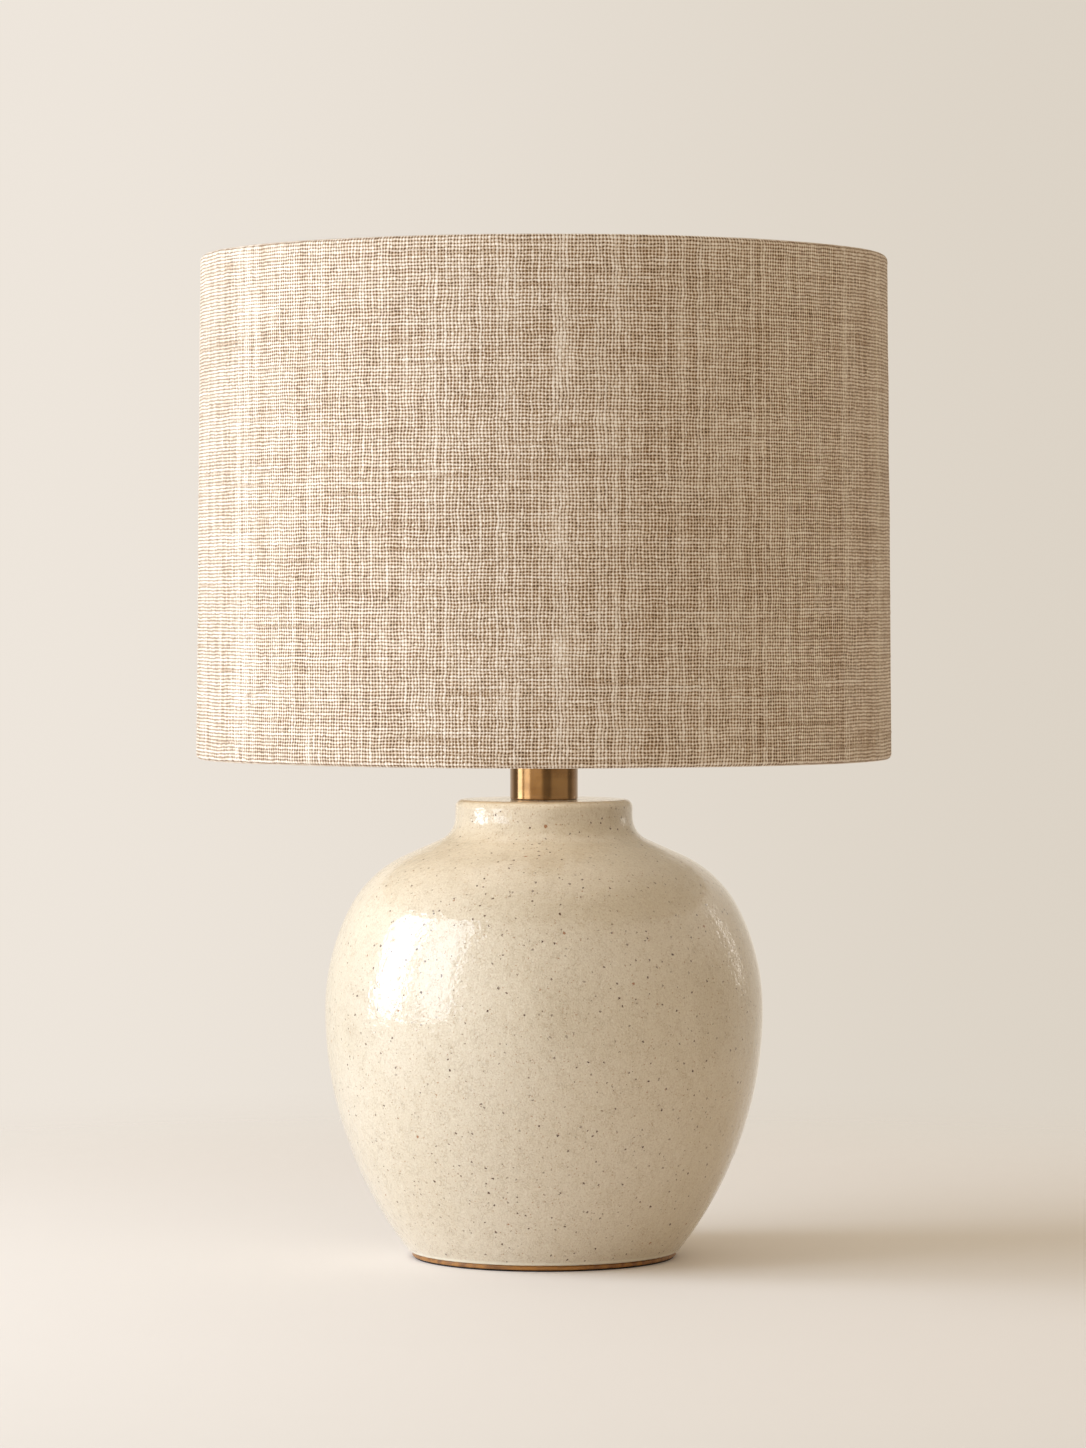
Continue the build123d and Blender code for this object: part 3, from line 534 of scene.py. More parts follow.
@dataclass(frozen=True)
class SlubLinen:
    """Natural linen in an open plain weave, with thick and thin threads, painted paler on the thread crests
    as a highlight and painted dark in the holes as shade.
    """

    # knot: the pale thread tone, also painted on the thread crests as a highlight
    pale_and_crest_highlight: Colour = (244, 234, 222)
    flax: Colour = (206, 184, 159)
    tan: Colour = (174, 143, 106)
    slub: Colour = (150, 116, 76)
    # gap and deep_gap_shade: painted shade in the holes between threads, over the brown backing that shows
    # through
    gap_shade: Colour = (112, 78, 44)
    deep_gap_shade: Colour = (72, 46, 22)
    warp_set: ThreadSet = ThreadSet(3.0, 1.35)
    weft_set: ThreadSet = ThreadSet(11.0, 0.65)
    half_width: float = 0.26
    slow_reach: float = 0.12
    lone_reach: float = 0.05
    depth: float = 0.34 * MM
    roughness: float = 0.88

    def strands(self, g: Graph, across: Socket, along: Socket, swell: Socket,
                kind: ThreadSet) -> tuple[Socket, Socket, Socket]:
        """Reads one set of parallel threads.

        Args:
            g: The graph.
            across: Thread count across this set.
            along: Thread count along it.
            swell: What is added to the threads' half width, in threads.
            kind: Which set it is.

        Returns:
            The thread's number, its rounded section from 0 in the gaps to 1 on the crest, and its tone.
        """
        number = g.math("FLOOR", across)
        offset = g.math("ABSOLUTE", g.minus(g.minus(across, number), 0.5))
        lone = g.dice(g.joined(number, kind.seed, kind.seed))
        slow_line = g.joined(g.times(number, 7.31), g.times(along, 0.035), kind.seed)
        quick_line = g.joined(g.times(number, 5.17), g.times(along, 0.4), kind.seed + 20)
        tone_line = g.joined(g.times(number, 3.17), g.times(along, 0.06), kind.seed + 40)
        reach, lone_reach = self.slow_reach * kind.swing, self.lone_reach * kind.swing
        width = g.span(g.noise(slow_line, 1.0), self.half_width - reach, self.half_width + reach)
        width = g.plus(width, g.span(lone, -lone_reach, lone_reach))
        width = g.plus(width, g.span(g.noise(quick_line, 1.0), -0.16, 0.16))
        width = g.plus(width, swell)
        section = g.ease(offset, g.plus(width, 0.15), g.minus(width, 0.17))
        tone = g.plus(g.noise(tone_line, 1.0, 2.0, 0.6), g.span(lone, -reach, reach))
        return number, section, tone

    def wandered(self, g: Graph, threads: Socket) -> tuple[Socket, Socket]:
        """Lets the straight threads drift and shake.

        Args:
            g: The graph.
            threads: The cover's thread counts.

        Returns:
            The thread counts along the girth and up the wall.
        """
        middle = (0.5, 0.5, 0.5)
        drift = g.parts(g.vector("SUBTRACT", g.noise_vector(threads, 0.085), middle))
        shake = g.parts(g.vector("SUBTRACT", g.noise_vector(threads, 0.42), middle))
        raw = g.parts(threads)
        girth = g.plus(raw[0], g.plus(g.times(drift[0], 1.6), g.times(shake[0], 0.7)))
        wall = g.plus(raw[1], g.plus(g.times(drift[1], 0.7), g.times(shake[1], 0.6)))
        return girth, wall

    def material(self) -> bpy.types.Material:
        """Builds the weave from the cover's own thread counts and slubs, with a painted highlight on the
        crests and painted shade in the holes.

        Returns:
            The material.
        """
        g = Skin("linen")
        threads = g.add("Attribute", {}, attribute_name="thread_place").outputs["Vector"]
        slub = g.add("Attribute", {}, attribute_name="slub").outputs["Fac"]
        girth, wall = self.wandered(g, threads)
        dark = g.ease(slub, -0.10, -0.80)
        pale = g.ease(slub, 0.10, 0.80)
        close = g.span(g.noise(g.scaled(threads, 0.05, 0.06, 1.0), 1.0, 3.0), -0.05, 0.05)
        weft_swell = g.plus(close, g.minus(g.times(pale, 0.10), g.times(dark, 0.05)))
        warp_number, warp, warp_tone = self.strands(g, girth, wall, close, self.warp_set)
        weft_number, weft, weft_tone = self.strands(g, wall, girth, weft_swell, self.weft_set)
        odd = g.minus(g.math("MODULO", g.plus(warp_number, weft_number), 2.0), 0.5)
        both = g.times(warp, weft)
        height = g.plus(g.times(g.plus(warp, weft), 0.5), g.times(both, g.times(odd, 0.16)))
        lead = g.plus(g.math("MULTIPLY_ADD", g.minus(warp, weft), 0.8, 0.5), g.times(both, odd))
        tone = g.math("MULTIPLY_ADD", g.minus(warp_tone, weft_tone), lead, weft_tone)
        pit = g.dice(g.joined(warp_number, weft_number, 5.0))
        # painted shade in the holes between threads, darker in some holes
        hole_shade = g.mix(g.ease(pit, 0.35, 0.95), tint(*self.gap_shade), tint(*self.deep_gap_shade))
        fuzz = g.noise(g.scaled(threads, 4.0, 4.0, 4.0), 1.0, 3.0, 0.7)
        # painted highlight: the threads are painted paler the higher they stand
        thread = g.mix(g.ease(height, 0.48, 0.95), tint(*self.flax), tint(*self.pale_and_crest_highlight))
        thread = g.mix(g.ease(tone, 0.50, 0.22, 0.0, 0.40), thread, tint(*self.tan))
        thread = g.mix(g.ease(tone, 0.55, 0.80, 0.0, 0.40), thread, tint(*self.pale_and_crest_highlight))
        thread = g.mix(g.ease(pit, 0.55, 0.95, 0.0, 0.30), thread, tint(*self.tan))
        thread = g.mix(g.ease(fuzz, 0.45, 0.75, 0.0, 0.35), thread, tint(*self.tan))
        thread = g.mix(g.times(g.times(dark, 0.5), weft), thread, tint(*self.slub))
        thread = g.mix(g.times(g.times(pale, 0.45), weft), thread, tint(*self.pale_and_crest_highlight))
        # the low places between threads take the painted hole shade
        colour = g.mix(g.ease(height, 0.04, 0.52), hole_shade, thread)
        g.relief(g.plus(height, g.times(fuzz, 0.22)), self.depth)
        return g.finish(colour, self.roughness, Sheen_Weight=0.08, Sheen_Roughness=0.5)


# ---------------------------------------------------------------- sub-assemblies
def dress(node: str, material: bpy.types.Material) -> None:
    """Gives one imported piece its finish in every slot.

    Args:
        node: The piece's name.
        material: Its finish.
    """
    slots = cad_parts[node].data.materials
    if not slots:
        slots.append(material)
    for number in range(len(slots)):
        slots[number] = material
    LOG.info("dressed %s in %s", node, material.name)


@dataclass
class JarBase:
    """The glazed jar, its wooden foot with the felt pad, and the cord's bush."""

    collar_r: float = 45.6 * MM
    glaze: Glaze = Glaze()
    wood: FootWood = FootWood()
    felt: Felt = Felt()
    nylon: Moulded = Moulded("bush_plastic", (158, 128, 92), (138, 110, 78), 0.42)

    def build(self) -> None:
        """Dresses the base's pieces."""
        low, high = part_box("jar")
        dress("jar", self.glaze.material(low.z, high.z, self.collar_r))
        dress("foot_disc", self.wood.material())
        dress("foot_pad", self.felt.material())
        dress("cord_bush", self.nylon.material())


@dataclass
class BrassWork:
    """The neck, the harp with its saddle and sleeves, the swivel seat and the finial."""

    brass: Brass = Brass()
    pieces: tuple[str, ...] = (
        "neck_sleeve", "neck_cap", "harp_saddle", "harp", "harp_sleeve_left", "harp_sleeve_right",
        "swivel_stud", "finial", "socket_cap", "socket_shell",
    )

    def build(self) -> None:
        """Dresses every brass piece."""
        material = self.brass.material()
        for piece in self.pieces:
            dress(piece, material)


@dataclass
class ClampStack:
    """The nipple and what it clamps under the jar's deck."""

    steel: Plating = Plating("zinc_steel", (206, 206, 202), (160, 160, 156), 0.32)
    rubber: Moulded = Moulded("black_rubber", (44, 43, 42), (24, 24, 24), 0.7, 700.0, 0.03 * MM)
    pieces: tuple[str, ...] = (
        "threaded_nipple", "clamp_washer", "lock_washer", "clamp_nut", "cap_set_screw",
    )

    def build(self) -> None:
        """Dresses the stack."""
        steel = self.steel.material()
        for piece in self.pieces:
            dress(piece, steel)
        dress("deck_gasket", self.rubber.material())


@dataclass
class Lampholder:
    """The lampholder's liner, body and contacts, and its turn switch."""

    fibre: Moulded = Moulded("vulcan_fibre", (104, 78, 56), (74, 54, 38), 0.55, 1500.0, 0.04 * MM)
    phenolic: Moulded = Moulded("phenolic", (46, 38, 32), (30, 25, 22), 0.34, 900.0, 0.01 * MM, 0.3)
    aluminium: Plating = Plating("socket_aluminium", (224, 224, 222), (184, 184, 182), 0.3)
    contact: Brass = Brass("contact_brass", (226, 190, 118), (190, 146, 80), 0.16)
    knob: Moulded = Moulded("switch_black", (38, 36, 34), (22, 21, 20), 0.28, 1300.0, 0.006 * MM, 0.4)

    def build(self) -> None:
        """Dresses the lampholder."""
        dress("socket_liner", self.fibre.material())
        dress("socket_body", self.phenolic.material())
        dress("screw_shell", self.aluminium.material())
        contact = self.contact.material()
        for piece in ("centre_contact", "terminal_screws", "switch_spindle"):
            dress(piece, contact)
        dress("switch_knob", self.knob.material())


@dataclass
class Bulb:
    """The opal bulb with its screw cap."""

    glass: OpalGlass = OpalGlass()
    nickel: Plating = Plating("bulb_nickel", (226, 224, 218), (180, 178, 172), 0.22)
    insulator: Moulded = Moulded("bulb_insulator", (40, 36, 34), (22, 20, 18), 0.25, 900.0, 0.01 * MM, 0.5)

    def build(self) -> None:
        """Dresses the bulb."""
        dress("bulb_globe", self.glass.material())
        nickel = self.nickel.material()
        dress("bulb_cap", nickel)
        dress("bulb_contact", nickel)
        dress("bulb_insulator", self.insulator.material())


@dataclass(frozen=True)
class ClothSection:
    """The cloth's middle line, from the low tail up the wall to the top tail.

    It holds the points (radius, height), for each the outward direction of the cloth's face, the
    rows where the wall starts and ends, the row where a notch ends, and the top ring's radius.
    """

    points: np.ndarray
    faces: np.ndarray
    first_wall: int
    last_wall: int
    notch_row: int
    top_r: float


def turned(angle: float) -> np.ndarray:
    """Returns the unit direction at an angle in the section's plane."""
    return np.array([math.cos(angle), math.sin(angle)])


def smooth_noise(rng: np.random.Generator, shape: tuple[int, int], coarse: tuple[int, int]) -> np.ndarray:
    """Draws soft noise from -1 to 1 over a grid, from a coarser one.

    Args:
        rng: The random source.
        shape: Rows and columns of the result.
        coarse: Rows and columns that are drawn.

    Returns:
        The noise, rows by columns.
    """
    drawn = rng.uniform(-1, 1, (coarse[0] + 1, coarse[1] + 1))
    down = np.linspace(0, coarse[0], shape[0])
    over = np.linspace(0, coarse[1], shape[1])
    i = np.minimum(down.astype(int), coarse[0] - 1)
    j = np.minimum(over.astype(int), coarse[1] - 1)
    s, t = (down - i)[:, None], (over - j)[None, :]
    s, t = s * s * (3 - 2 * s), t * t * (3 - 2 * t)
    top = drawn[i][:, j] * (1 - t) + drawn[i][:, j + 1] * t
    low = drawn[i + 1][:, j] * (1 - t) + drawn[i + 1][:, j + 1] * t
    return top * (1 - s) + low * s


def revolved(section: tuple[np.ndarray, np.ndarray], offset: np.ndarray, angle: np.ndarray) -> np.ndarray:
    """Turns a section round the axis, each point moved out along the cloth's face.

    Args:
        section: Section points (radius, height) and their outward directions.
        offset: Distance for each section point and angle.
        angle: Angles round the axis.

    Returns:
        Places, rows by columns by 3.
    """
    points, faces = section
    radius = points[:, 0, None] + faces[:, 0, None] * offset
    height = points[:, 1, None] + faces[:, 1, None] * offset
    return np.stack([radius * np.cos(angle), radius * np.sin(angle), height], axis=2)


@dataclass
class DrumShade:
    """The linen cover turned round its two rings, with the lining, the rings and the spider."""

    linen: SlubLinen = SlubLinen()
    styrene: Moulded = Moulded("shade_lining_white", (236, 231, 220), (222, 215, 202), 0.42, 420.0,
                               0.01 * MM)
    enamel: Moulded = Moulded("ring_white", (232, 229, 221), (214, 210, 200), 0.38, 800.0,
                              coat=0.3)
    linen_t: float = 0.7 * MM
    wire_r: float = 1.6 * MM
    fold_gap: float = 0.3 * MM
    fold_turn: float = 1.5 * math.pi
    fold_steps: int = 16
    tail: float = 1.0 * MM
    pitch: float = 1.7 * MM
    spare_threads: int = 40
    lap: float = 14.0 * MM
    lap_rise: float = 0.75 * MM
    lap_start: float = 10 * MM
    lap_ramp: float = 8 * MM
    columns: int = 252
    inner_wall_rows: int = 8
    arm_angles: tuple[float, ...] = (90.0, 210.0, 330.0)
    notch_half: float = 1.85 * MM
    thread_rise: float = 0.11 * MM
    thread_swing: float = 0.05 * MM
    thread_grid: tuple[int, int] = (60, 90)
    ripple: float = 0.16 * MM
    ripple_grid: tuple[int, int] = (10, 22)
    slub_rise: float = 0.22 * MM
    slub_rate: float = 6.0
    slub_length: Span = (10 * MM, 70 * MM)
    slub_strength: Span = (0.35, 1.0)
    slub_taper: float = 0.6
    dark_share: float = 0.72
    map_margin: float = 0.004
    map_length: float = 0.49
    map_face: Span = (0.0, 0.44)
    map_lining: Span = (0.45, 0.04)
    seed: int = 7

    def section_line(self) -> ClothSection:
        """Walks the cloth's middle line from the low tail, up the wall, to the top tail.

        Returns:
            The section.
        """
        ring_low, ring_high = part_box("shade_ring")
        _, fitter_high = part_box("shade_fitter")
        low_c = np.array([ring_high.x - self.wire_r, (ring_low.z + ring_high.z) / 2])
        top_c = np.array([fitter_high.x - self.wire_r, fitter_high.z - self.wire_r])
        fold_r = self.wire_r + self.fold_gap + self.linen_t / 2
        lean = math.atan2(low_c[0] - top_c[0], top_c[1] - low_c[1])
        points: list[np.ndarray] = []
        faces: list[np.ndarray] = []

        def fold(centre: np.ndarray, start: float) -> None:
            """Adds a fold round a wire, without its last point.

            Args:
                centre: The wire's place in the section.
                start: Angle where the fold starts.
            """
            for angle in np.linspace(start, start + self.fold_turn, self.fold_steps, endpoint=False):
                points.append(centre + fold_r * turned(angle))
                faces.append(turned(angle))

        def straight_end(centre: np.ndarray, angle: float, side: int, shares: tuple[float, ...]) -> None:
            """Adds the short straight end of a fold.

            Args:
                centre: The wire's place in the section.
                angle: Angle where the fold ends.
                side: 1 past the fold's end, -1 before its start.
                shares: Where the points stand, as shares of the tail's length.
            """
            way = turned(angle)
            along = np.array([-way[1], way[0]]) * side
            for share in shares:
                points.append(centre + fold_r * way + along * self.tail * share)
                faces.append(way)

        straight_end(low_c, lean - self.fold_turn, -1, (1.0, 0.5))
        fold(low_c, lean - self.fold_turn)
        first_wall = len(points)
        out = turned(lean)
        wall_low, wall_top = low_c + fold_r * out, top_c + fold_r * out
        rows = round(float(np.linalg.norm(wall_top - wall_low)) / (self.pitch / 2))
        for share in np.linspace(0, 1, rows, endpoint=False):
            points.append(wall_low + (wall_top - wall_low) * share)
            faces.append(out)
        last_wall = len(points)
        fold(top_c, lean)
        straight_end(top_c, lean + self.fold_turn, 1, (0.0, 0.5, 1.0))
        notch_row = last_wall + self.fold_steps // 2
        ends = (first_wall, last_wall, notch_row)
        return ClothSection(np.array(points), np.array(faces), *ends, float(top_c[0]))

    def slubs(self, rng: np.random.Generator, place_u: np.ndarray, threads: int) -> np.ndarray:
        """Draws where each weft thread is thick, dark or pale.

        Args:
            rng: The random source.
            place_u: Places along the girth in metres.
            threads: How many weft threads there are.

        Returns:
            A signed strength for each thread and place, dark below 0.
        """
        table = np.zeros((threads, len(place_u)))
        girth = float(place_u[-1])
        for number in range(threads):
            for _ in range(rng.poisson(self.slub_rate)):
                length = rng.uniform(*self.slub_length)
                middle = rng.uniform(0, girth)
                strength = rng.uniform(*self.slub_strength)
                strength *= -1 if rng.random() < self.dark_share else 1
                reach = np.abs(place_u - middle) / (length / 2)
                bump = np.clip(1 - reach**2, 0, 1) ** self.slub_taper * strength
                row = table[number]
                table[number] = np.where(np.abs(bump) > np.abs(row), bump, row)
        return table

    def cover_mesh(self) -> bpy.types.Object:
        """Builds the linen as one lapped strip with its own thickness, slubs and turned edges.

        Returns:
            The cover.
        """
        rng = np.random.default_rng(self.seed)
        line = self.section_line()
        steps = np.linalg.norm(np.diff(line.points, axis=0), axis=1)
        run = np.concatenate([[0], np.cumsum(steps)])
        girth = TURN * float(line.points[:, 0].max())
        place_u = np.linspace(0, girth + self.lap, self.columns + 1)
        angle = place_u / girth * TURN + math.pi / 2
        count_v = (run - run[line.first_wall]) / self.pitch + self.spare_threads
        threads = int(count_v.max()) + 2
        table = self.slubs(rng, place_u, threads)
        whole = np.floor(count_v + NUDGE)
        crest = 1 - 2 * np.abs(count_v - whole - 0.5)
        slub = table[np.clip(whole.astype(int), 0, threads - 1), :] * crest[:, None]
        shape = (len(run), len(place_u))
        ripple = smooth_noise(rng, shape, self.ripple_grid) * self.ripple
        thick = smooth_noise(rng, shape, self.thread_grid)
        rise = (self.thread_rise + self.thread_swing * thick) * crest[:, None]
        rise = rise + self.slub_rise * np.abs(slub) + ripple
        lapping = np.clip((place_u - girth + self.lap_start) / self.lap_ramp, 0, 1)
        lift = (self.lap_rise * lapping * lapping * (3 - 2 * lapping))[None, :]
        outer = revolved((line.points, line.faces), self.linen_t / 2 + rise + lift, angle)
        keep = self.inner_rows(line, len(run))
        flat = np.repeat(lift - self.linen_t / 2, len(keep), axis=0)
        inner = revolved((line.points[keep], line.faces[keep]), flat, angle)
        cover = self.stitched(outer, inner, keep, self.notched(line, place_u), line.notch_row)
        self.note_threads(cover.data, place_u, count_v, slub, keep)
        self.unroll(cover.data, outer.shape[:2], len(keep))
        cover.data.validate()
        cover.data.polygons.foreach_set("use_smooth", [True] * len(cover.data.polygons))
        self.drop_loose(cover)
        return cover

    def inner_rows(self, line: ClothSection, count: int) -> np.ndarray:
        """Picks the rows that the inner face keeps: half of the folds, few of the wall.

        Args:
            line: The section.
            count: How many rows the section has.

        Returns:
            The rows' numbers.
        """
        low = list(range(0, line.first_wall, 2)) + [line.first_wall]
        wall = list(np.linspace(line.first_wall, line.last_wall, self.inner_wall_rows + 1).astype(int)[1:])
        top = list(range(line.last_wall + 2, count - 1, 2)) + [count - 1]
        return np.array(low + wall + top)

    def notched(self, line: ClothSection, place_u: np.ndarray) -> np.ndarray:
        """Finds the columns of the top fold that are cut away for the spider's arms.

        Args:
            line: The section.
            place_u: Places along the girth.

        Returns:
            True for each column that is cut.
        """
        half_column = place_u[1] / place_u[-1] * math.pi
        middle = place_u[:-1] / (place_u[-1] - self.lap) * TURN + math.pi / 2 + half_column
        cut = np.zeros(len(middle), bool)
        for arm in self.arm_angles:
            away = (middle - math.radians(arm) + math.pi) % TURN - math.pi
            cut |= np.abs(away) * line.top_r < self.notch_half
        return cut

    def stitched(self, outer: np.ndarray, inner: np.ndarray, keep: np.ndarray, cut: np.ndarray,
                 notch_row: int) -> bpy.types.Object:
        """Joins the two faces of the cloth into one closed sheet, notched round the spider's arms.

        Args:
            outer: The face side.
            inner: The lining side, with fewer rows.
            keep: Which of the face side's rows the lining side has.
            cut: Which columns are notched.
            notch_row: The face side's row where a notch ends.

        Returns:
            The cover.
        """
        rows, columns = outer.shape[:2]
        inner_rows = inner.shape[0]
        inner_notch = int(np.searchsorted(keep, notch_row))
        end_out = np.where(cut, notch_row, rows - 1)
        end_in = np.where(cut, inner_notch, inner_rows - 1)
        base = rows * columns
        faces: list[tuple[int, ...]] = []

        def at(i: int, j: int) -> int:
            """Number of a point on the face side."""
            return i * columns + j

        def under(i: int, j: int) -> int:
            """Number of a point on the lining side."""
            return base + i * columns + j

        def edge(first: int, inner_first: int, j: int, flip: bool) -> None:
            """Closes one column's edge, up to the top.

            Args:
                first: The face side's row where the edge starts.
                inner_first: The lining side's.
                j: The column.
                flip: Whether the edge faces the other way.
            """
            rim = [at(i, j) for i in range(first, rows)]
            rim += [under(i, j) for i in range(inner_rows - 1, inner_first - 1, -1)]
            faces.append(tuple(rim[::-1] if flip else rim))

        for j in range(columns - 1):
            for i in range(end_out[j]):
                faces.append((at(i, j), at(i, j + 1), at(i + 1, j + 1), at(i + 1, j)))
            for i in range(end_in[j]):
                faces.append((under(i + 1, j), under(i + 1, j + 1), under(i, j + 1), under(i, j)))
            faces.append((under(0, j), under(0, j + 1), at(0, j + 1), at(0, j)))
            a, b = end_out[j], end_in[j]
            faces.append((at(a, j), at(a, j + 1), under(b, j + 1), under(b, j)))
        edge(0, 0, 0, False)
        edge(0, 0, columns - 1, True)
        for j in range(1, columns - 1):
            if cut[j] != cut[j - 1]:
                edge(notch_row, inner_notch, j, not cut[j - 1])
        mesh = bpy.data.meshes.new("linen_cover")
        places = np.concatenate([outer.reshape(-1, 3), inner.reshape(-1, 3)])
        mesh.from_pydata(places.tolist(), [], faces)
        cover = bpy.data.objects.new("linen_cover", mesh)
        bpy.context.scene.collection.objects.link(cover)
        return cover

    def note_threads(self, mesh: bpy.types.Mesh, place_u: np.ndarray, count_v: np.ndarray, slub: np.ndarray,
                     keep: np.ndarray) -> None:
        """Stores each point's thread counts and slub on the mesh.

        Args:
            mesh: The cover's mesh.
            place_u: Places along the girth.
            count_v: Thread count at each row.
            slub: Slub strength.
            keep: The lining side's rows.
        """
        u_grid, v_grid = np.meshgrid(place_u / self.pitch, count_v)
        both_u = np.concatenate([u_grid.ravel(), u_grid[keep].ravel()])
        both_v = np.concatenate([v_grid.ravel(), v_grid[keep].ravel()])
        counts = np.stack([both_u, both_v, 0 * both_u], 1)
        strength = np.concatenate([slub.ravel(), slub[keep].ravel()])
        threads = mesh.attributes.new("thread_place", "FLOAT_VECTOR", "POINT")
        threads.data.foreach_set("vector", counts.astype(np.float32).ravel())
        mesh.attributes.new("slub", "FLOAT", "POINT").data.foreach_set("value", strength.astype(np.float32))

    def unroll(self, mesh: bpy.types.Mesh, shape: tuple[int, int], inner_rows: int) -> None:
        """Lays the unrolled cloth on a square map in four lengths, with the hidden face in a thin strip.

        Args:
            mesh: The cover's mesh.
            shape: Rows and columns of the face side.
            inner_rows: Rows of the lining side.
        """
        rows, columns = shape
        corners = np.zeros(len(mesh.loops), int)
        mesh.loops.foreach_get("vertex_index", corners)
        totals = np.array([face.loop_total for face in mesh.polygons])
        owner = np.repeat(np.arange(len(totals)), totals)
        is_inner = corners >= rows * columns
        local = np.where(is_inner, corners - rows * columns, corners)
        column, row = local % columns, local // columns
        least = np.full(len(totals), columns)
        np.minimum.at(least, owner, column)
        quarter = (columns - 1) / 4
        part = np.minimum((least // quarter).astype(int), 3)[owner]
        along = (column - part * quarter) / quarter
        share = np.where(is_inner, row / (inner_rows - 1), row / (rows - 1))
        low = np.where(is_inner, self.map_lining[0], self.map_face[0])
        tall = np.where(is_inner, self.map_lining[1], self.map_face[1])
        across = 0.5 * (part % 2) + self.map_margin + along * self.map_length
        up = 0.5 * (part // 2) + self.map_margin + low + share * tall
        layer = mesh.uv_layers.new(name="OFBake")
        layer.uv.foreach_set("vector", np.stack([across, up], 1).astype(np.float32).ravel())

    def drop_loose(self, cover: bpy.types.Object) -> None:
        """Deletes the points that the notches left without a face.

        Args:
            cover: The cover.
        """
        work = bmesh.new()
        work.from_mesh(cover.data)
        loose = [point for point in work.verts if not point.link_faces]
        bmesh.ops.delete(work, geom=loose, context="VERTS")
        work.to_mesh(cover.data)
        work.free()

    def build(self) -> None:
        """Makes the cover and dresses the shade's wire and lining."""
        cover = self.cover_mesh()
        cover.data.materials.append(self.linen.material())
        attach(cover, "shade")
        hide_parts("shade_cover")
        LOG.info("made %s with %d faces", cover.name, len(cover.data.polygons))
        dress("shade_lining", self.styrene.material())
        enamel = self.enamel.material()
        dress("shade_ring", enamel)
        dress("shade_fitter", enamel)


# ---------------------------------------------------------------- the studio
class Reflection(Enum):
    """Whether a light is seen in the glaze and the brass."""

    MIRRORED = "mirrored"
    HIDDEN = "hidden"


@dataclass(frozen=True)
class SoftLight:
    """One rectangular light: its place, what it faces, width and height, watts, linear colour."""

    name: str
    place: Place
    target: Place
    size: Span
    power: float
    colour: Colour
    reflection: Reflection = Reflection.MIRRORED
    only_on: str = ""

    def hang(self) -> None:
        """Hangs the light, which the camera never sees, and keeps it to one piece where it says so."""
        data = bpy.data.lights.new(self.name, "AREA")
        data.shape = "RECTANGLE"
        data.size, data.size_y = self.size
        data.energy = self.power
        data.color = self.colour
        lamp = bpy.data.objects.new(self.name, data)
        lamp.visible_camera = False
        lamp.visible_glossy = self.reflection is Reflection.MIRRORED
        lamp.location = self.place
        facing = Vector(self.target) - Vector(self.place)
        lamp.rotation_euler = facing.to_track_quat("-Z", "Y").to_euler()
        bpy.context.scene.collection.objects.link(lamp)
        if self.only_on:
            lit = bpy.data.collections.new(f"lit_by_{self.name}")
            lit.objects.link(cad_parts[self.only_on])
            lamp.light_linking.receiver_collection = lit


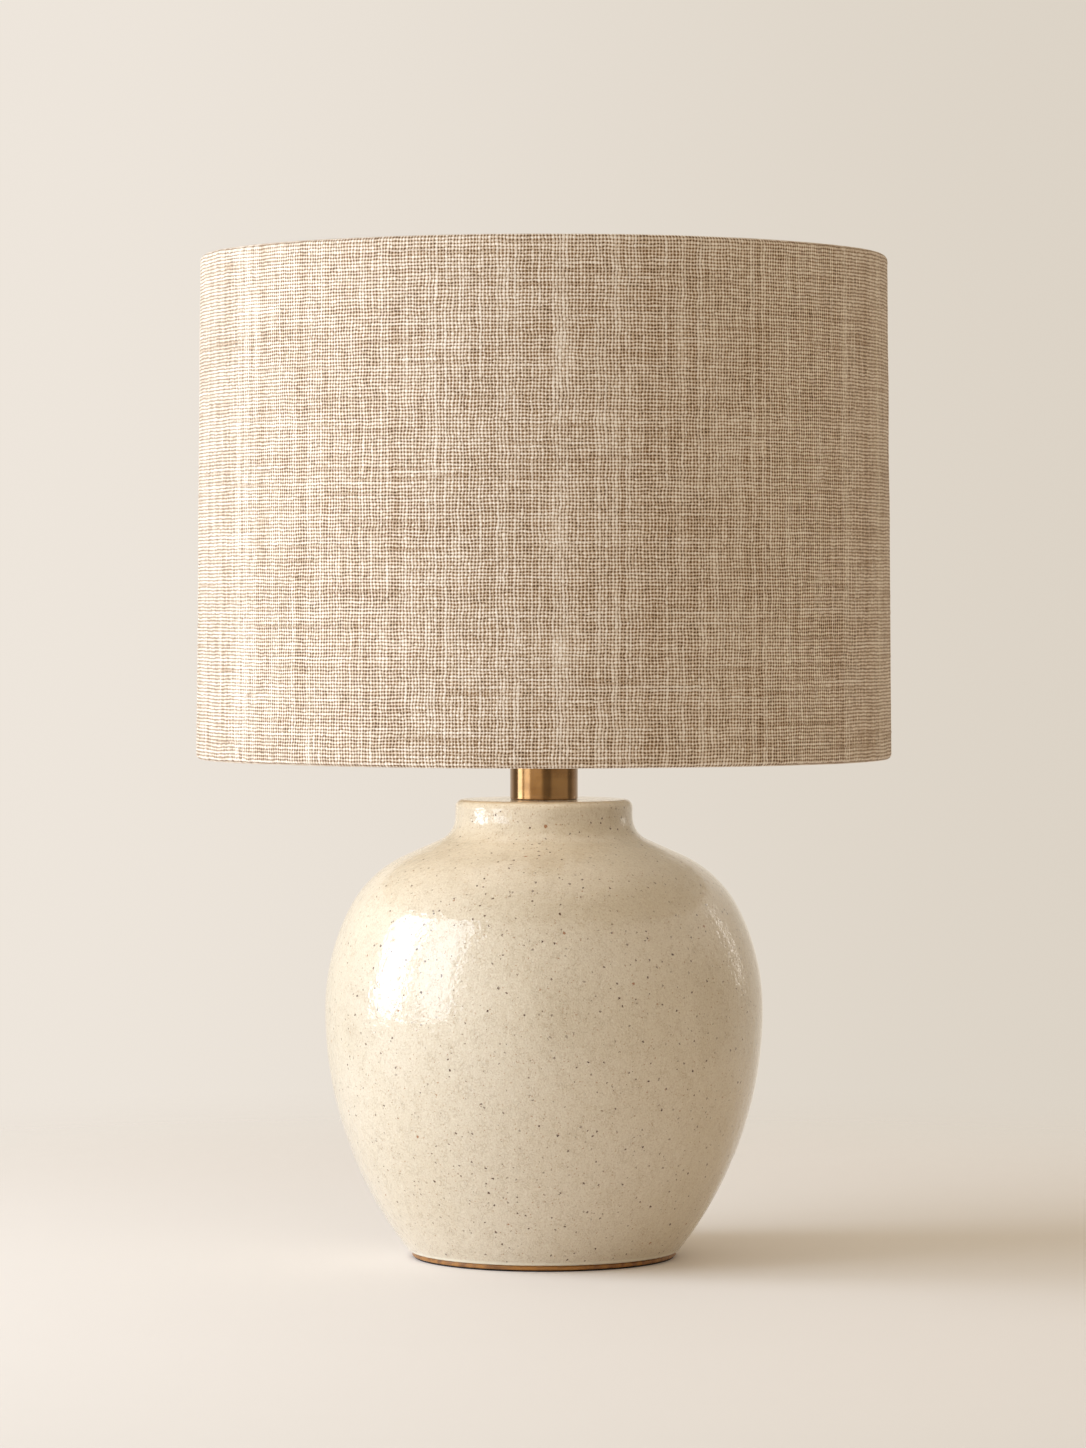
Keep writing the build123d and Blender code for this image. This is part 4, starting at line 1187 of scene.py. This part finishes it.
@dataclass
class Studio:
    """The pale floor, the window light from the left, the soft fill, the room and the camera."""

    eye: Place = (-0.0005, -2.70, 0.334)
    pitch: float = 1.27
    lens: float = 130.5
    sensor: float = 36.0
    sight: float = 60.0
    lamps: tuple[SoftLight, ...] = (
        SoftLight("window_near", (-1.71, -1.00, 1.02), (0, 0, 0.30), (0.86, 2.0), 14.5, DAYLIGHT),
        SoftLight("window_far", (-2.02, -0.05, 1.02), (0, 0, 0.30), (0.80, 2.0), 25, DAYLIGHT),
        SoftLight("window_sill", (-1.90, -0.62, 0.20), (0, 0, 0.20), (1.9, 0.36), 17, DAYLIGHT,
                  Reflection.HIDDEN),
        SoftLight("low_fill", (-1.3, -2.2, 0.32), (0, 0, 0.22), (1.3, 0.62), 3.5, (0.98, 0.97, 0.94),
                  Reflection.HIDDEN),
        SoftLight("shade_glow", (-0.075, -0.03, 0.29), (-0.075, -0.031, 0.0), (0.20, 0.20), 0.20,
                  (1.0, 0.94, 0.86), Reflection.HIDDEN, "jar"),
        SoftLight("strip_right", (1.5, 1.1, 0.62), (0, 0, 0.25), (0.08, 0.8), 0.6, (1.0, 0.95, 0.88)),
    )
    wall_left: Colour = (238, 230, 220)
    wall_right: Colour = (220, 211, 198)
    wall_reach: float = 0.12
    room_left: Linear = (0.64, 0.565, 0.45, 1.0)
    room_right: Linear = (0.59, 0.50, 0.375, 1.0)
    mirrored_top: Colour = (250, 240, 226)
    mirrored_warmth: Colour = (1.0, 0.90, 0.76)
    mirrored_levels: tuple[Span, ...] = (
        (-180, 0.85), (-135, 0.75), (-116, 0.32), (-102, 0.30), (-94, 0.90), (-12, 1.20), (0, 0.36),
        (20, 0.30), (30, 0.62), (84, 0.66), (92, 0.26), (104, 0.26), (116, 0.50), (140, 0.60), (180, 0.85),
    )
    floor: Colour = (241, 235, 230)
    floor_reach: float = 12.0
    floor_sides: int = 96
    floor_clears: Span = (0.34, 0.95)

    def camera(self) -> None:
        """Sets the camera at the photograph's angle."""
        data = bpy.data.cameras.new("camera")
        data.lens = self.lens
        data.sensor_width = self.sensor
        data.clip_end = self.sight
        eye = bpy.data.objects.new("camera", data)
        eye.location = self.eye
        eye.rotation_euler = (math.radians(90 - self.pitch), 0, 0)
        bpy.context.scene.collection.objects.link(eye)
        bpy.context.scene.camera = eye

    def mirrored_room(self, g: Graph, x: Socket, y: Socket, z: Socket) -> Socket:
        """Builds what gloss sees: light and dark walls by their bearing, and a pale top.

        Args:
            g: The world's nodes.
            x: The direction's part to the right.
            y: The direction's part to the back.
            z: The direction's part upward.

        Returns:
            The colour.
        """
        bearing = g.math("ARCTAN2", x, g.times(y, -1.0))
        ramp = g.add("ValToRGB", {0: g.math("MULTIPLY_ADD", bearing, 1 / TURN, 0.5)})
        ramp.color_ramp.interpolation = "EASE"
        stops = ramp.color_ramp.elements
        while len(stops) < len(self.mirrored_levels):
            stops.new(0.5)
        for stop, (degrees, level) in zip(stops, self.mirrored_levels):
            stop.position = degrees / 360 + 0.5
            stop.color = (*(level * part for part in self.mirrored_warmth), 1.0)
        return g.mix(g.ease(z, 0.10, 0.45), ramp.outputs["Color"], tint(*self.mirrored_top))

    def world(self) -> None:
        """Surrounds the lamp with a warm room, which the camera sees as a pale wall."""
        world = bpy.data.worlds.new("studio")
        bpy.context.scene.world = world
        g = Graph(world)
        g.nodes.clear()
        x, y, z = g.parts(g.add("TexCoord", {}).outputs["Generated"])
        room = g.mix(g.ease(x, -1.0, 1.0), self.room_left, self.room_right)
        across = g.ease(x, -self.wall_reach, self.wall_reach)
        wall = g.mix(across, tint(*self.wall_left), tint(*self.wall_right))
        path = g.add("LightPath", {})
        colour = g.mix(path.outputs["Is Glossy Ray"], room, self.mirrored_room(g, x, y, z))
        colour = g.mix(path.outputs["Is Camera Ray"], colour, wall)
        back = g.add("Background", {"Color": colour})
        out = g.add("OutputWorld", {"Surface": back.outputs[0]})
        out.is_active_output = True

    def ground(self) -> None:
        """Lays the floor, which clears away to the room behind it some way from the lamp."""
        ring = []
        for side in range(self.floor_sides):
            angle = TURN * side / self.floor_sides
            ring.append((self.floor_reach * math.cos(angle), self.floor_reach * math.sin(angle), 0.0))
        mesh = bpy.data.meshes.new("floor")
        mesh.from_pydata(ring, [], [tuple(range(self.floor_sides))])
        floor = bpy.data.objects.new("floor", mesh)
        bpy.context.scene.collection.objects.link(floor)
        g = Skin("floor")
        x, y, _ = g.parts(g.place())
        g.finish(tint(*self.floor), 0.75, Specular_IOR_Level=0.2)
        path = g.add("LightPath", {})
        seen = g.math("MAXIMUM", path.outputs["Is Camera Ray"], path.outputs["Is Glossy Ray"])
        share = g.times(g.ease(g.from_axis(x, y), *self.floor_clears), seen)
        clear = g.add("BsdfTransparent", {})
        blend = g.add("MixShader", {0: share, 1: g.shader.outputs[0], 2: clear.outputs[0]})
        g.links.new(blend.outputs[0], g.nodes["Material Output"].inputs["Surface"])
        floor.data.materials.append(g.material)

    def build(self) -> None:
        """Sets up the studio."""
        bpy.context.scene.view_settings.view_transform = "Standard"
        self.camera()
        for lamp in self.lamps:
            lamp.hang()
            LOG.info("hung %s", lamp.name)
        self.world()
        self.ground()
        LOG.info("set up the studio")


def main() -> None:
    """Builds the lamp's looks, piece by piece."""
    logging.basicConfig(level=logging.INFO, format="%(name)s: %(message)s")
    Studio().build()
    for sub_assembly in (JarBase(), BrassWork(), ClampStack(), Lampholder(), Bulb(), DrumShade()):
        sub_assembly.build()


if __name__ == "__main__":
    main()
